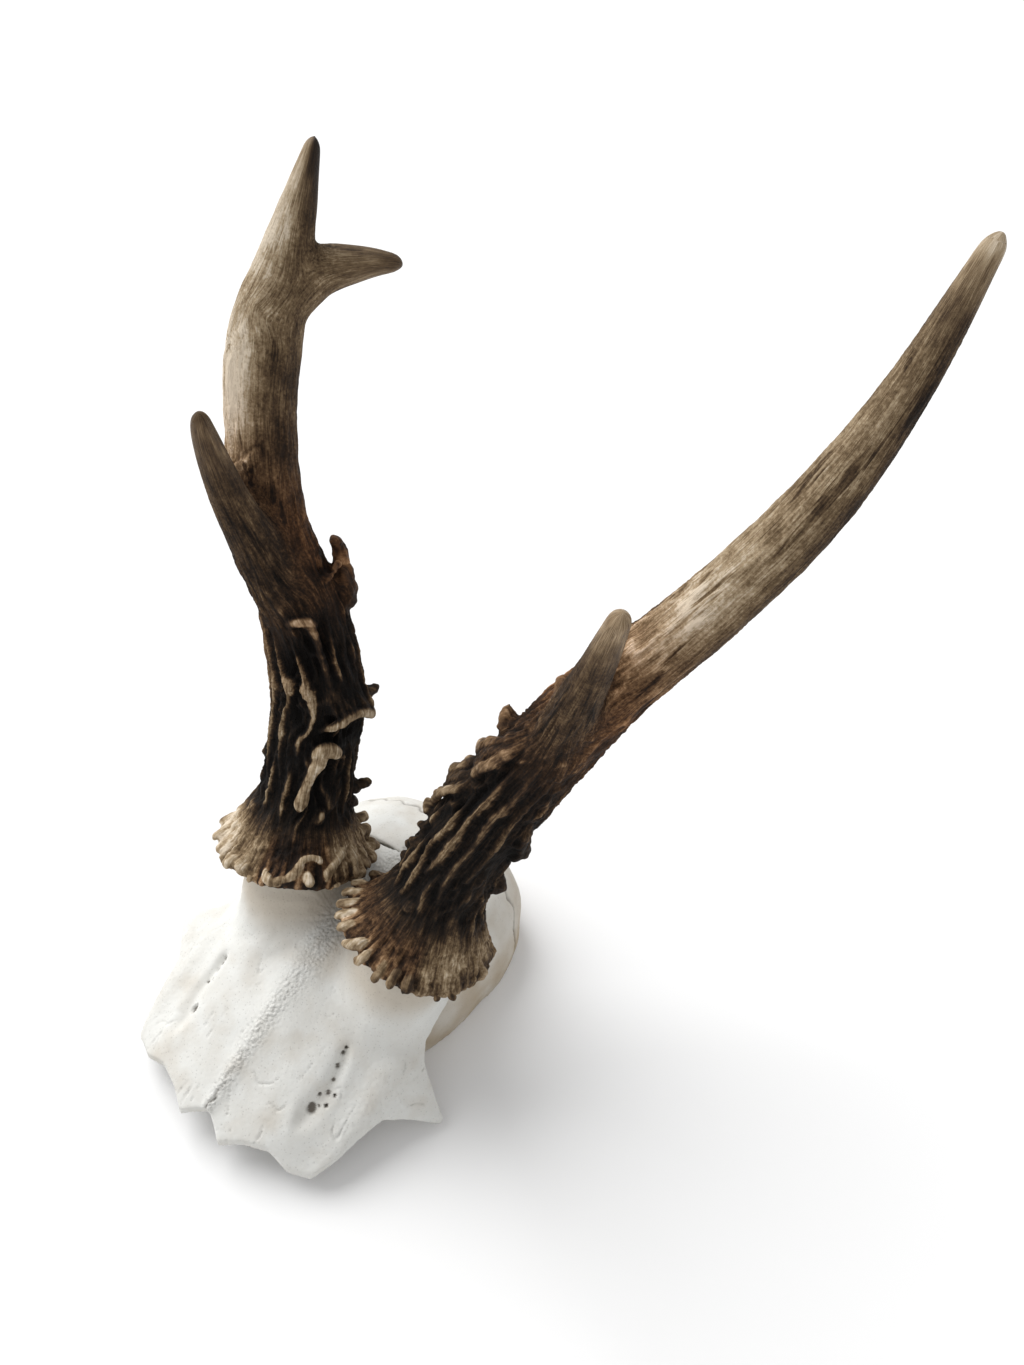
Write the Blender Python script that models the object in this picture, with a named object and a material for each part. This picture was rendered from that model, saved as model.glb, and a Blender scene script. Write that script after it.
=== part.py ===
"""A roe buck's pair of antlers on its sawn skull cap, standing on the sawn base.

Metres, +Z up. Every size below is in the skull's own frame: X = 0 is the suture down the middle of
the forehead and +X the animal's left, -Y is towards the nose, and Z = 0 is the plane of the saw cut.
At the end the whole object is shifted so that the origin is the middle of its footprint.
"""

import math

import bmesh
import bpy
from mathutils import Vector

# Forehead: its height down the midline is a parabola in y, and it falls away to each side.
FOREHEAD_TOP = 0.0382
FOREHEAD_TOP_Y = 0.015
FOREHEAD_BEND = 5.8
SIDE_FALL = 9.44
SIDE_FALL_FAST = 1960.0
BONE_THICKNESS = 0.0032
PEDICLE_THICKENING = 0.003
PEDICLE_THICKENING_SPREAD = 0.009
BONE_GAP = 0.0003
SUTURE_HALF_GAP = 0.0002
CUTTER_MIDLINE_SHIFT = 0.0006
CUTTER_WIDENS_FROM_X = 0.033
CUTTER_TOP = 0.08
CUTTER_BOTTOM = -0.02

# Outline of the left frontal bone in plan, as (x, y) from the midline out to its side process.
FRONT_EDGE = [
    (SUTURE_HALF_GAP, -0.0507), (0.0030, -0.0523), (0.0064, -0.0545), (0.0118, -0.0512),
    (0.0180, -0.0488), (0.0238, -0.0490), (0.0293, -0.0464), (0.0320, -0.0400), (0.0335, -0.0340),
    (0.0355, -0.0270), (0.0400, -0.0220), (0.0440, -0.0180), (0.0465, -0.0152),
]
REAR_EDGE = [
    (SUTURE_HALF_GAP, 0.0240), (0.0090, 0.0238), (0.0200, 0.0225), (0.0280, 0.0175), (0.0330, 0.0100),
    (0.0352, 0.0020), (0.0358, -0.0070), (0.0375, -0.0112), (0.0418, -0.0130), (0.0465, -0.0142),
]
PLATE_ROWS = 14
CUTTER_MARGIN = 0.012

# Braincase: a boxy half egg, open underneath, whose rim is the saw cut.
CASE_HALF_WIDTH = 0.0352
CASE_HALF_LENGTH = 0.0405
CASE_HEIGHT = 0.0384
CASE_MIDDLE_Y = 0.0180
CASE_BOXINESS = 0.80
CASE_TAPER = 0.12
CASE_WALL = 0.0034
CASE_SIDES = 40
CASE_RINGS = 20
CASE_SPACE_RIM = -0.005
ON_THE_AXIS = 1e-6

# Hole over each eye socket, where a vein leaves the forehead.
FORAMEN_X = 0.0212
FORAMEN_Y = -0.0372
FORAMEN_RADIUS = 0.0018
FORAMEN_HALF_DEPTH = 0.01

# Burr (coronet): distance along the beam from its middle, and radius there.
BURR_PROFILE = [(-0.0030, 0.0120), (-0.0026, 0.0188), (0.0002, 0.0222), (0.0032, 0.0200), (0.0062, 0.0140)]
BEAM_ROUNDNESS = 8
TINE_ROUNDNESS = 5
ROW_SPACING = 0.0055
FORK_GAP = 0.0003

# Pedicle: the stub of the frontal bone that carries the antler, from its foot up to the burr.
PEDICLE_FOOT = 0.026
PEDICLE_FOOT_RADIUS = 0.0136
PEDICLE_TOP_RADIUS = 0.0126
PEDICLE_SET_IN = 0.0006

# Middle line of each beam and tine, root to tip: x, y, z and radius.
LEFT_BEAM = [
    (0.0211, 0.0030, 0.0458, 0.0126), (0.0230, 0.0124, 0.0681, 0.0114), (0.0284, 0.0209, 0.0895, 0.0108),
    (0.0357, 0.0268, 0.1095, 0.0098), (0.0442, 0.0313, 0.1293, 0.0080), (0.0554, 0.0384, 0.1517, 0.0069),
    (0.0645, 0.0451, 0.1740, 0.0060), (0.0698, 0.0508, 0.1963, 0.0042), (0.0722, 0.0567, 0.2200, 0.0023),
    (0.0723, 0.0572, 0.2225, 0.0012),
]
LEFT_BROW = [
    (0.0345, 0.0250, 0.1040, 0.0080), (0.0385, 0.0217, 0.1210, 0.0056), (0.0430, 0.0165, 0.1405, 0.0038),
    (0.0464, 0.0120, 0.1575, 0.0025), (0.0472, 0.0108, 0.1624, 0.0014),
]
RIGHT_BEAM = [
    (-0.0204, 0.0041, 0.0460, 0.0128), (-0.0242, 0.0127, 0.0668, 0.0118), (-0.0280, 0.0206, 0.0869, 0.0114),
    (-0.0358, 0.0241, 0.1061, 0.0102), (-0.0476, 0.0262, 0.1265, 0.0082), (-0.0552, 0.0313, 0.1470, 0.0081),
    (-0.0588, 0.0375, 0.1640, 0.0081), (-0.0596, 0.0458, 0.1809, 0.0054), (-0.0601, 0.0538, 0.1992, 0.0023),
    (-0.0602, 0.0546, 0.2018, 0.0011),
]
RIGHT_BROW = [
    (-0.0345, 0.0225, 0.1020, 0.0082), (-0.0415, 0.0180, 0.1200, 0.0063), (-0.0470, 0.0125, 0.1400, 0.0042),
    (-0.0488, 0.0090, 0.1545, 0.0028), (-0.0486, 0.0078, 0.1612, 0.0010),
]
RIGHT_REAR = [
    (-0.0592, 0.0400, 0.1700, 0.0072), (-0.0560, 0.0500, 0.1755, 0.0056), (-0.0495, 0.0570, 0.1780, 0.0038),
    (-0.0440, 0.0620, 0.1788, 0.0022), (-0.0422, 0.0640, 0.1780, 0.0009),
]

# Planes that part the tines from the beams, each as a point and the direction the tip lies in.
LEFT_CROTCH = ((0.0430, 0.0250, 0.1340), (0.30, 0.0, 0.95))
RIGHT_CROTCH = ((-0.0480, 0.0200, 0.1350), (-0.30, 0.0, 0.95))
REAR_ROOT = ((-0.0545, 0.0520, 0.1765), (0.85, 0.50, 0.03))

BONE_COLOUR = (0.86, 0.85, 0.81, 1.0)
DARK_ANTLER_COLOUR = (0.10, 0.065, 0.04, 1.0)
PALE_ANTLER_COLOUR = (0.46, 0.37, 0.26, 1.0)
MATT_ROUGHNESS = 0.6
POLISHED_ROUGHNESS = 0.45
SMOOTH_UNDER_DEGREES = 40


def clear_scene():
    for existing in list(bpy.data.objects):
        bpy.data.objects.remove(existing)


def material(name, colour, roughness):
    made = bpy.data.materials.new(name)
    made.use_nodes = True
    shader = made.node_tree.nodes["Principled BSDF"]
    shader.inputs["Base Color"].default_value = colour
    shader.inputs["Roughness"].default_value = roughness
    shader.inputs["Metallic"].default_value = 0.0
    return made


def object_from(mesh, name, finish):
    mesh.materials.clear()
    mesh.materials.append(finish)
    made = bpy.data.objects.new(name, mesh)
    bpy.context.scene.collection.objects.link(made)
    return made


def mesh_from(build, name):
    mesh = bpy.data.meshes.new(name)
    bmesh.ops.recalc_face_normals(build, faces=build.faces)
    build.to_mesh(mesh)
    build.free()
    return mesh


def evaluated_mesh(source):
    """The mesh that the object's curve or modifiers come to."""
    graph = bpy.context.evaluated_depsgraph_get()
    return bpy.data.meshes.new_from_object(source.evaluated_get(graph))


def boolean(target, other, operation):
    modifier = target.modifiers.new(operation.title(), "BOOLEAN")
    modifier.operation = operation
    modifier.solver = "EXACT"
    modifier.object = other
    result = evaluated_mesh(target)
    target.modifiers.clear()
    target.data = result
    bpy.data.objects.remove(other)


def between(points, at):
    """Straight-line interpolation through (x, y) points."""
    for (x0, y0), (x1, y1) in zip(points, points[1:]):
        if at <= x1:
            return y0 + (y1 - y0) * max(0.0, at - x0) / (x1 - x0)
    return points[-1][1]


def forehead_height(x, y):
    middle = FOREHEAD_TOP - FOREHEAD_BEND * min(0.0, y - FOREHEAD_TOP_Y) ** 2
    return middle - SIDE_FALL * x**2 - SIDE_FALL_FAST * x**4


def forehead_underside(x, y):
    """The bone has one thickness all over, and more of it under the pedicle."""
    away = (x - LEFT_BEAM[0][0]) ** 2 + y**2
    thickening = PEDICLE_THICKENING * math.exp(-away / (2 * PEDICLE_THICKENING_SPREAD**2))
    return forehead_height(x, y) - BONE_THICKNESS - thickening


def cutter_top(x, y):
    return CUTTER_TOP


def cutter_bottom(x, y):
    return CUTTER_BOTTOM


def below_the_bone(x, y):
    return forehead_underside(x, y) - BONE_GAP


def inside_the_bone(x, y):
    return forehead_underside(x, y) + PEDICLE_SET_IN


def plan_slab(name, side, wider, upper, lower, finish):
    """Closed slab over one frontal bone's plan, between two heights that are functions of (x, y).

    wider moves its rear edge back, and opens the midline and the front too if it isn't zero.
    """
    build = bmesh.new()
    lines = []
    opened = CUTTER_MARGIN if wider else 0.0
    for x in sorted({x for x, _ in FRONT_EDGE + REAR_EDGE}):
        front, rear = between(FRONT_EDGE, x) - opened, between(REAR_EDGE, x) + wider
        place = x
        if wider and x == SUTURE_HALF_GAP:
            place = x - CUTTER_MIDLINE_SHIFT
        elif x > CUTTER_WIDENS_FROM_X:
            place = x + wider
        steps = [front + (rear - front) * row / PLATE_ROWS for row in range(PLATE_ROWS + 1)]
        lines.append([build.verts.new((side * place, y, upper(x, y))) for y in steps])
    for line, after in zip(lines, lines[1:]):
        for a, b, c, d in zip(line, after, after[1:], line[1:]):
            build.faces.new((a, b, c, d))
    made = bmesh.ops.extrude_face_region(build, geom=build.faces[:])
    for vert in (v for v in made["geom"] if isinstance(v, bmesh.types.BMVert)):
        vert.co.z = lower(abs(vert.co.x), vert.co.y)
    return object_from(mesh_from(build, name), name, finish)


def boxy_half_egg(name, inset, rim, finish):
    """The part above the height rim of a ball drawn out to a superquadric, inset all round."""
    build = bmesh.new()
    bmesh.ops.create_uvsphere(build, u_segments=CASE_SIDES, v_segments=CASE_RINGS, radius=1.0)
    sizes = (CASE_HALF_WIDTH - inset, CASE_HALF_LENGTH - inset, CASE_HEIGHT - inset)
    for vert in build.verts:
        flat = math.hypot(vert.co.x, vert.co.y)
        turn = [vert.co.x / flat, vert.co.y / flat] if flat > ON_THE_AXIS else [0.0, 0.0]
        parts = [flat * math.copysign(1, turn[0]), flat * math.copysign(1, turn[1]), vert.co.z]
        powers = [math.copysign(abs(part) ** CASE_BOXINESS, part) for part in parts]
        shares = [abs(turn[0]) ** CASE_BOXINESS, abs(turn[1]) ** CASE_BOXINESS, 1.0]
        vert.co = [size * power * share for size, power, share in zip(sizes, powers, shares)]
        vert.co.x *= 1 + CASE_TAPER * vert.co.y / sizes[1]
        vert.co.y += CASE_MIDDLE_Y
    everything = build.verts[:] + build.edges[:] + build.faces[:]
    bmesh.ops.bisect_plane(build, geom=everything, plane_co=(0, 0, rim), plane_no=(0, 0, 1), clear_inner=True)
    bmesh.ops.holes_fill(build, edges=[e for e in build.edges if e.is_boundary])
    return object_from(mesh_from(build, name), name, finish)


def make_braincase(finish):
    case = boxy_half_egg("braincase", 0.0, 0.0, finish)
    boolean(case, boxy_half_egg("brain_space", CASE_WALL, CASE_SPACE_RIM, finish), "DIFFERENCE")
    for side in (-1, 1):
        space = plan_slab("frontal_space", side, BONE_GAP, cutter_top, below_the_bone, finish)
        boolean(case, space, "DIFFERENCE")
    return case


def catmull_rom(points, spacing):
    """A smooth curve through the points, about one value per spacing of length. Works on any tuples."""
    ends = [tuple(2 * a - b for a, b in zip(points[0], points[1]))]
    ends += [tuple(p) for p in points]
    ends += [tuple(2 * a - b for a, b in zip(points[-1], points[-2]))]
    found = []
    for p0, p1, p2, p3 in zip(ends, ends[1:], ends[2:], ends[3:]):
        steps = max(1, round((Vector(p2[:3]) - Vector(p1[:3])).length / spacing))
        for step in range(steps):
            t = step / steps
            found.append(
                tuple(
                    0.5 * (2 * b + (c - a) * t + (2 * a - 5 * b + 4 * c - d) * t**2
                           + (3 * b - a - 3 * c + d) * t**3)
                    for a, b, c, d in zip(p0, p1, p2, p3)
                )
            )
    return [*found, tuple(points[-1])]


def start_direction(line):
    return (Vector(line[1][:3]) - Vector(line[0][:3])).normalized()


def tapered_tube(name, stations, roundness, finish):
    """A curve through the stations, as thick at each as its radius says, turned into a closed mesh."""
    curve = bpy.data.curves.new(name, "CURVE")
    curve.dimensions = "3D"
    curve.bevel_depth = 1.0
    curve.bevel_resolution = roundness
    curve.use_fill_caps = True
    spline = curve.splines.new("POLY")
    spline.points.add(len(stations) - 1)
    for point, (x, y, z, radius) in zip(spline.points, stations):
        point.co = (x, y, z, 1.0)
        point.radius = radius
    blank = object_from(curve, name + "_line", finish)
    made = object_from(evaluated_mesh(blank), name, finish)
    bpy.data.objects.remove(blank)
    return made


def beam_stations(line):
    """The burr's profile along the first direction of the beam, then the beam itself."""
    start, along = Vector(line[0][:3]), start_direction(line)
    burr = [(*(start + along * distance), radius) for distance, radius in BURR_PROFILE]
    body = catmull_rom(line, ROW_SPACING)
    clear = BURR_PROFILE[-1][0] + ROW_SPACING / 2
    return burr + [s for s in body if (Vector(s[:3]) - start).dot(along) > clear]


def cut_half(whole, point, normal, name, near, finish):
    """A copy of whole on the side of the plane that normal points to, closed there. Only the piece that
    comes nearest to the point near is kept, where the plane leaves several."""
    build = bmesh.new()
    build.from_mesh(whole.data)
    everything = build.verts[:] + build.edges[:] + build.faces[:]
    bmesh.ops.bisect_plane(build, geom=everything, plane_co=point, plane_no=normal, clear_inner=True)
    bmesh.ops.holes_fill(build, edges=[e for e in build.edges if e.is_boundary])
    seed = min(build.verts, key=lambda v: (v.co - near).length)
    kept, waiting = {seed}, [seed]
    while waiting:
        for edge in waiting.pop().link_edges:
            fresh = [v for v in edge.verts if v not in kept]
            kept.update(fresh)
            waiting.extend(fresh)
    bmesh.ops.delete(build, geom=[v for v in build.verts if v not in kept], context="VERTS")
    return object_from(mesh_from(build, name), name, finish)


def split_fork(whole, plane, lower_name, upper, tine, finishes):
    """Cuts a forked piece across just above its crotch into what is below and the two pieces above."""
    point, normal = Vector(plane[0]), Vector(plane[1]).normalized()
    above = point + normal * FORK_GAP
    root = Vector(whole["root"])
    pieces = [cut_half(whole, point, -normal, lower_name, root, finishes[0])]
    for name, tip in (upper, tine):
        pieces.append(cut_half(whole, above, normal, name, Vector(tip[:3]), finishes[1]))
    bpy.data.objects.remove(whole)
    return pieces


def make_antler(side, beam, brow, crotch, finishes):
    """Lower beam with its burr, brow tine and upper beam, split just above the crotch of the brow tine."""
    whole = tapered_tube(f"{side}_whole", beam_stations(beam), BEAM_ROUNDNESS, finishes[0])
    whole["root"] = beam[0][:3]
    tine = tapered_tube(f"{side}_tine", catmull_rom(brow, ROW_SPACING), TINE_ROUNDNESS, finishes[1])
    boolean(whole, tine, "UNION")
    names = [(f"{side}_upper_beam", beam[-1]), (f"{side}_brow_tine", brow[-1])]
    return split_fork(whole, crotch, f"{side}_lower_beam", *names, finishes)


def add_rear_tine(upper_beam, rear, plane, finishes):
    """Joins the rear tine to the upper beam, then cuts it off again at its root as a piece of its own."""
    tine = tapered_tube("rear_blank", catmull_rom(rear, ROW_SPACING), TINE_ROUNDNESS, finishes[1])
    boolean(upper_beam, tine, "UNION")
    point, normal = Vector(plane[0]), Vector(plane[1]).normalized()
    tip = Vector(rear[-1][:3])
    piece = cut_half(upper_beam, point + normal * FORK_GAP, normal, "right_rear_tine", tip, finishes[1])
    beam = cut_half(upper_beam, point, -normal, "right_beam_top", Vector(RIGHT_BEAM[-1][:3]), finishes[1])
    bpy.data.objects.remove(upper_beam)
    beam.name = "right_upper_beam"
    return [beam, piece]


def make_frontal(side_name, side, beam, finish):
    """One frontal bone: half the forehead, its side process and the pedicle that carries the antler."""
    name = f"{side_name}_frontal_bone"
    bone = plan_slab(name, side, 0.0, forehead_height, forehead_underside, finish)
    start, along = Vector(beam[0][:3]), start_direction(beam)
    seat = start + along * (BURR_PROFILE[0][0] - BONE_GAP)
    foot = start - along * PEDICLE_FOOT
    stations = [(*foot, PEDICLE_FOOT_RADIUS), (*seat, PEDICLE_TOP_RADIUS)]
    pedicle = tapered_tube("pedicle", stations, BEAM_ROUNDNESS, finish)
    below = plan_slab("below_forehead", side, BONE_GAP, inside_the_bone, cutter_bottom, finish)
    boolean(pedicle, below, "DIFFERENCE")
    boolean(bone, pedicle, "UNION")
    top = forehead_height(FORAMEN_X, FORAMEN_Y)
    ends = (top - FORAMEN_HALF_DEPTH, top + FORAMEN_HALF_DEPTH)
    hole = [(side * FORAMEN_X, FORAMEN_Y, end, FORAMEN_RADIUS) for end in ends]
    boolean(bone, tapered_tube("foramen", hole, TINE_ROUNDNESS, finish), "DIFFERENCE")
    return bone


def centre_on_footprint(pieces):
    """Parents every piece to one empty, and moves that so that the origin is the footprint's middle."""
    corners = [p.matrix_world @ v.co for p in pieces for v in p.data.vertices]
    low = [min(c[axis] for c in corners) for axis in range(3)]
    high = [max(c[axis] for c in corners) for axis in range(3)]
    frontlet = bpy.data.objects.new("frontlet", None)
    bpy.context.scene.collection.objects.link(frontlet)
    frontlet.location = (-(low[0] + high[0]) / 2, -(low[1] + high[1]) / 2, -low[2])
    for piece in pieces:
        piece.parent = frontlet


def main():
    clear_scene()
    bone = material("bleached_bone", BONE_COLOUR, MATT_ROUGHNESS)
    antler = [
        material("dark_antler", DARK_ANTLER_COLOUR, MATT_ROUGHNESS),
        material("pale_antler", PALE_ANTLER_COLOUR, POLISHED_ROUGHNESS),
    ]
    pieces = [make_braincase(bone)]
    pieces.append(make_frontal("left", 1, LEFT_BEAM, bone))
    pieces.append(make_frontal("right", -1, RIGHT_BEAM, bone))
    pieces += make_antler("left", LEFT_BEAM, LEFT_BROW, LEFT_CROTCH, antler)
    lower, upper, brow = make_antler("right", RIGHT_BEAM, RIGHT_BROW, RIGHT_CROTCH, antler)
    pieces += [lower, brow, *add_rear_tine(upper, RIGHT_REAR, REAR_ROOT, antler)]
    for piece in pieces:
        piece.data.shade_smooth()
        piece.data.set_sharp_from_angle(angle=math.radians(SMOOTH_UNDER_DEGREES))
    centre_on_footprint(pieces)


main()
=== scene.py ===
# Looks of a roe buck's antlers on their sawn skull cap.
# Lengths are millimetres in the skull's own frame: X = 0 is the suture down the forehead, +X the
# animal's left, -Y towards the nose, Z = 0 the saw cut. putInMesh turns them into metres.
import math
import bmesh
import bpy
import numpy as np
from mathutils import Matrix, Vector


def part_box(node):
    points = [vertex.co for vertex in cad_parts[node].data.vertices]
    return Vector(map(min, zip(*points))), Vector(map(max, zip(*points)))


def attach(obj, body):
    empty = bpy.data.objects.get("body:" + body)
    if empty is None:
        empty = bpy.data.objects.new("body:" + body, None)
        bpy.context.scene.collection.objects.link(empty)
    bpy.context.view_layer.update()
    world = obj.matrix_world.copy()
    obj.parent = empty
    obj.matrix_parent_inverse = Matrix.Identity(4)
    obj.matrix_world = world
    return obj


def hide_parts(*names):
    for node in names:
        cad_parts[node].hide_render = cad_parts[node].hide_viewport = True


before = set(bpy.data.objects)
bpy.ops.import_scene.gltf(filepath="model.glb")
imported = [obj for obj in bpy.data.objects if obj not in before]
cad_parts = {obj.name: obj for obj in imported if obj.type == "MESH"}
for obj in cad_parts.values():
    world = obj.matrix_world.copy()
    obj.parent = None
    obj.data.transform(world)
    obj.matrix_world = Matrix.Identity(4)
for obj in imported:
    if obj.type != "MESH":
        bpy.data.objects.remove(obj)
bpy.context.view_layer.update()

caseLow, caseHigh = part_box("braincase")
caseMiddleY = 18.0  # where the braincase's own middle lies in the skull's frame
skullOrigin = np.array([
    (caseLow.x + caseHigh.x) / 2,
    (caseLow.y + caseHigh.y) / 2 - caseMiddleY / 1000,
    0.0,
])


# numbers over whole arrays

directionCount = 64
directionRandom = np.random.default_rng(5)
noiseDirections = directionRandom.normal(size=(directionCount, 3))
noiseDirections /= np.linalg.norm(noiseDirections, axis=1)[:, None]


def smoothStep(value, start, end):
    # 0 before start, 1 after end, an S curve between
    share = np.clip((value - start) / (end - start), 0, 1)
    return share * share * (3 - 2 * share)


def hashOf(cells, seed):
    # mixes three whole numbers and a seed into one, by multiplying and shifting
    mixed = cells.astype(np.uint32) * np.array([374761393, 668265263, 2246822519], np.uint32)
    mixed = mixed[..., 0] ^ mixed[..., 1] ^ mixed[..., 2]
    mixed = (mixed + np.uint32(seed * 7919 + 17)) * np.uint32(1274126177)
    mixed = (mixed ^ (mixed >> np.uint32(15))) * np.uint32(2654435761)
    return mixed ^ (mixed >> np.uint32(13))


def noiseAt(points, seed):
    # gradient noise: a slope hashed at each corner of a unit lattice, blended by a quintic curve
    cell = np.floor(points)
    offset = points - cell
    cell = cell.astype(np.int64)
    fade = offset**3 * (offset * (offset * 6 - 15) + 10)
    total = np.zeros(len(points))
    for corner in np.ndindex(2, 2, 2):
        slopes = noiseDirections[hashOf(cell + corner, seed) % directionCount]
        weight = np.prod(np.where(np.array(corner) == 1, fade, 1 - fade), axis=1)
        total += weight * np.sum(slopes * (offset - corner), axis=1)
    return total * 1.7


def layeredNoise(points, seed, layers=3):
    # noise plus half as much at twice the fineness, and so on
    total = np.zeros(len(points))
    for layer in range(layers):
        total += noiseAt(points * 2**layer, seed + layer) / 2**layer
    return total


def bell(value, width):
    # 1 at zero, falling off as e to the minus square of value over width
    return np.exp(-((value / width) ** 2))


# paths and what is carried along them


def smoothPath(stations, spacing):
    # Catmull-Rom: a cubic through the stations whose slope at each is half the step across it
    knots = np.array(stations, float)
    knots = np.vstack([2 * knots[0] - knots[1], knots, 2 * knots[-1] - knots[-2]])
    pieces = []
    for before, start, end, after in zip(knots, knots[1:], knots[2:], knots[3:]):
        count = max(1, round(np.linalg.norm(end[:3] - start[:3]) / spacing))
        t = np.arange(count)[:, None] / count
        curve = 2 * start + (end - before) * t + (2 * before - 5 * start + 4 * end - after) * t**2
        curve += (3 * start - before - 3 * end + after) * t**3
        pieces.append(curve / 2)
    return np.vstack([*pieces, knots[-2:-1]])


def makeSpine(stations, facing):
    # middle line of a beam or tine with its length, direction, and two directions across it
    line = smoothPath(stations, 1.0)
    points, radius = line[:, :3], line[:, 3]
    tangent = np.gradient(points, axis=0)
    tangent /= np.linalg.norm(tangent, axis=1)[:, None]
    facing = np.array(facing, float)
    front = facing - (tangent @ facing)[:, None] * tangent
    front /= np.linalg.norm(front, axis=1)[:, None]
    along = np.r_[0, np.cumsum(np.linalg.norm(np.diff(points, axis=0), axis=1))]
    return {
        "points": points, "radius": radius, "tangent": tangent, "front": front,
        "side": np.cross(tangent, front), "along": along, "length": along[-1],
    }


def spineValue(spine, name, along):
    # a spine's value at any distance along it, going straight on past its root
    table = spine[name]
    if table.ndim == 1:
        return np.interp(along, spine["along"], table)
    found = np.stack([np.interp(along, spine["along"], table[:, axis]) for axis in range(3)], axis=-1)
    if name == "points":
        found = found + np.minimum(along, 0)[..., None] * spine["tangent"][0]
    return found


def onSpine(spine, along, turn, distance):
    # point at that distance from the middle line, turned from the front towards the side, in degrees
    along, turn, distance = np.broadcast_arrays(
        np.asarray(along, float), np.radians(np.asarray(turn, float)), np.asarray(distance, float)
    )
    out = np.cos(turn)[..., None] * spineValue(spine, "front", along)
    out = out + np.sin(turn)[..., None] * spineValue(spine, "side", along)
    return spineValue(spine, "points", along) + distance[..., None] * out


def sweep(points, wide, high, reference, sides):
    # tubes along many paths at once: ellipses across each path, wide x high, high towards reference
    # points is (tubes, stations, 3); wide and high are (tubes, stations); reference is (tubes, 3)
    tangent = np.gradient(points, axis=1)
    tangent /= np.linalg.norm(tangent, axis=2)[..., None] + 1e-9
    across = np.cross(tangent, reference[:, None, :])
    across /= np.linalg.norm(across, axis=2)[..., None] + 1e-9
    upward = np.cross(across, tangent)
    turn = np.arange(sides) * 2 * math.pi / sides
    rings = points[:, :, None] + (wide[..., None] * np.cos(turn))[..., None] * across[:, :, None]
    rings = rings + (high[..., None] * np.sin(turn))[..., None] * upward[:, :, None]
    tubes, stations = wide.shape
    first = np.arange(tubes)[:, None, None] * stations * sides
    here = first + np.arange(stations - 1)[None, :, None] * sides + np.arange(sides)
    beside = first + np.arange(stations - 1)[None, :, None] * sides + (np.arange(sides) + 1) % sides
    walls = np.stack([here, beside, beside + sides, here + sides], axis=-1).reshape(-1, 4)
    ends = np.concatenate([
        first[:, 0] + np.arange(sides)[::-1],
        first[:, 0] + (stations - 1) * sides + np.arange(sides),
    ])
    return rings.reshape(-1, 3), [*walls.tolist(), *ends.tolist()]


# meshes


def putInMesh(name, shapes):
    # one mesh of many closed shapes, each (points in millimetres, faces)
    mesh = bpy.data.meshes.new(name)
    points, faces, total = [], [], 0
    for shapePoints, shapeFaces in shapes:
        points.append(shapePoints)
        faces += [[corner + total for corner in face] for face in shapeFaces]
        total += len(shapePoints)
    placed = np.vstack(points) / 1000 + skullOrigin
    mesh.from_pydata(placed.tolist(), [], faces)
    return mesh


def linkPiece(name, mesh):
    piece = bpy.data.objects.new(name, mesh)
    bpy.context.scene.collection.objects.link(piece)
    return piece


def resultOf(piece):
    # the mesh that the piece and its modifiers come to
    graph = bpy.context.evaluated_depsgraph_get()
    return bpy.data.meshes.new_from_object(piece.evaluated_get(graph))


def weldIntoOne(name, shapes, voxel):
    # overlapping closed shapes become one skin of even small faces
    rough = linkPiece(name + "Rough", putInMesh(name, shapes))
    modifier = rough.modifiers.new("skin", "REMESH")
    modifier.mode = "VOXEL"
    modifier.voxel_size = voxel / 1000
    mesh = resultOf(rough)
    bpy.data.objects.remove(rough)
    return mesh


def readPoints(mesh):
    flat = np.empty(len(mesh.vertices) * 3, np.float32)
    mesh.vertices.foreach_get("co", flat)
    return (flat.reshape(-1, 3).astype(float) - skullOrigin) * 1000


def writePoints(mesh, points):
    mesh.vertices.foreach_set("co", (points / 1000 + skullOrigin).astype(np.float32).ravel())
    mesh.update()


def readNormals(mesh):
    flat = np.empty(len(mesh.vertices) * 3, np.float32)
    mesh.vertex_normals.foreach_get("vector", flat)
    return flat.reshape(-1, 3).astype(float)


def readEdges(mesh):
    flat = np.empty(len(mesh.edges) * 2, np.int32)
    mesh.edges.foreach_get("vertices", flat)
    return flat.reshape(-1, 2)


def averageOfNeighbours(values, edges):
    # mean over the vertices that each vertex shares an edge with
    count = len(values)
    ends = np.concatenate([edges[:, 0], edges[:, 1]])
    others = np.concatenate([edges[:, 1], edges[:, 0]])
    shares = np.bincount(ends, minlength=count)
    columns = values.reshape(count, -1)
    sums = [np.bincount(ends, weights=column[others], minlength=count) for column in columns.T]
    return (np.stack(sums, axis=1) / np.maximum(shares, 1)[:, None]).reshape(values.shape)


def smoothed(values, edges, rounds, strength=0.5):
    # moves each value part of the way to its neighbours' mean, some rounds over
    for _ in range(rounds):
        mean = averageOfNeighbours(values, edges)
        share = strength if np.isscalar(strength) else strength.reshape(-1, *[1] * (values.ndim - 1))
        values = values + (mean - values) * share
    return values


def setAttribute(mesh, name, values):
    # a number or a vector at each vertex, for the materials
    kind = "FLOAT" if values.ndim == 1 else "FLOAT_VECTOR"
    attribute = mesh.attributes.new(name, kind, "POINT")
    field = "value" if values.ndim == 1 else "vector"
    attribute.data.foreach_set(field, values.astype(np.float32).ravel())


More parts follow.
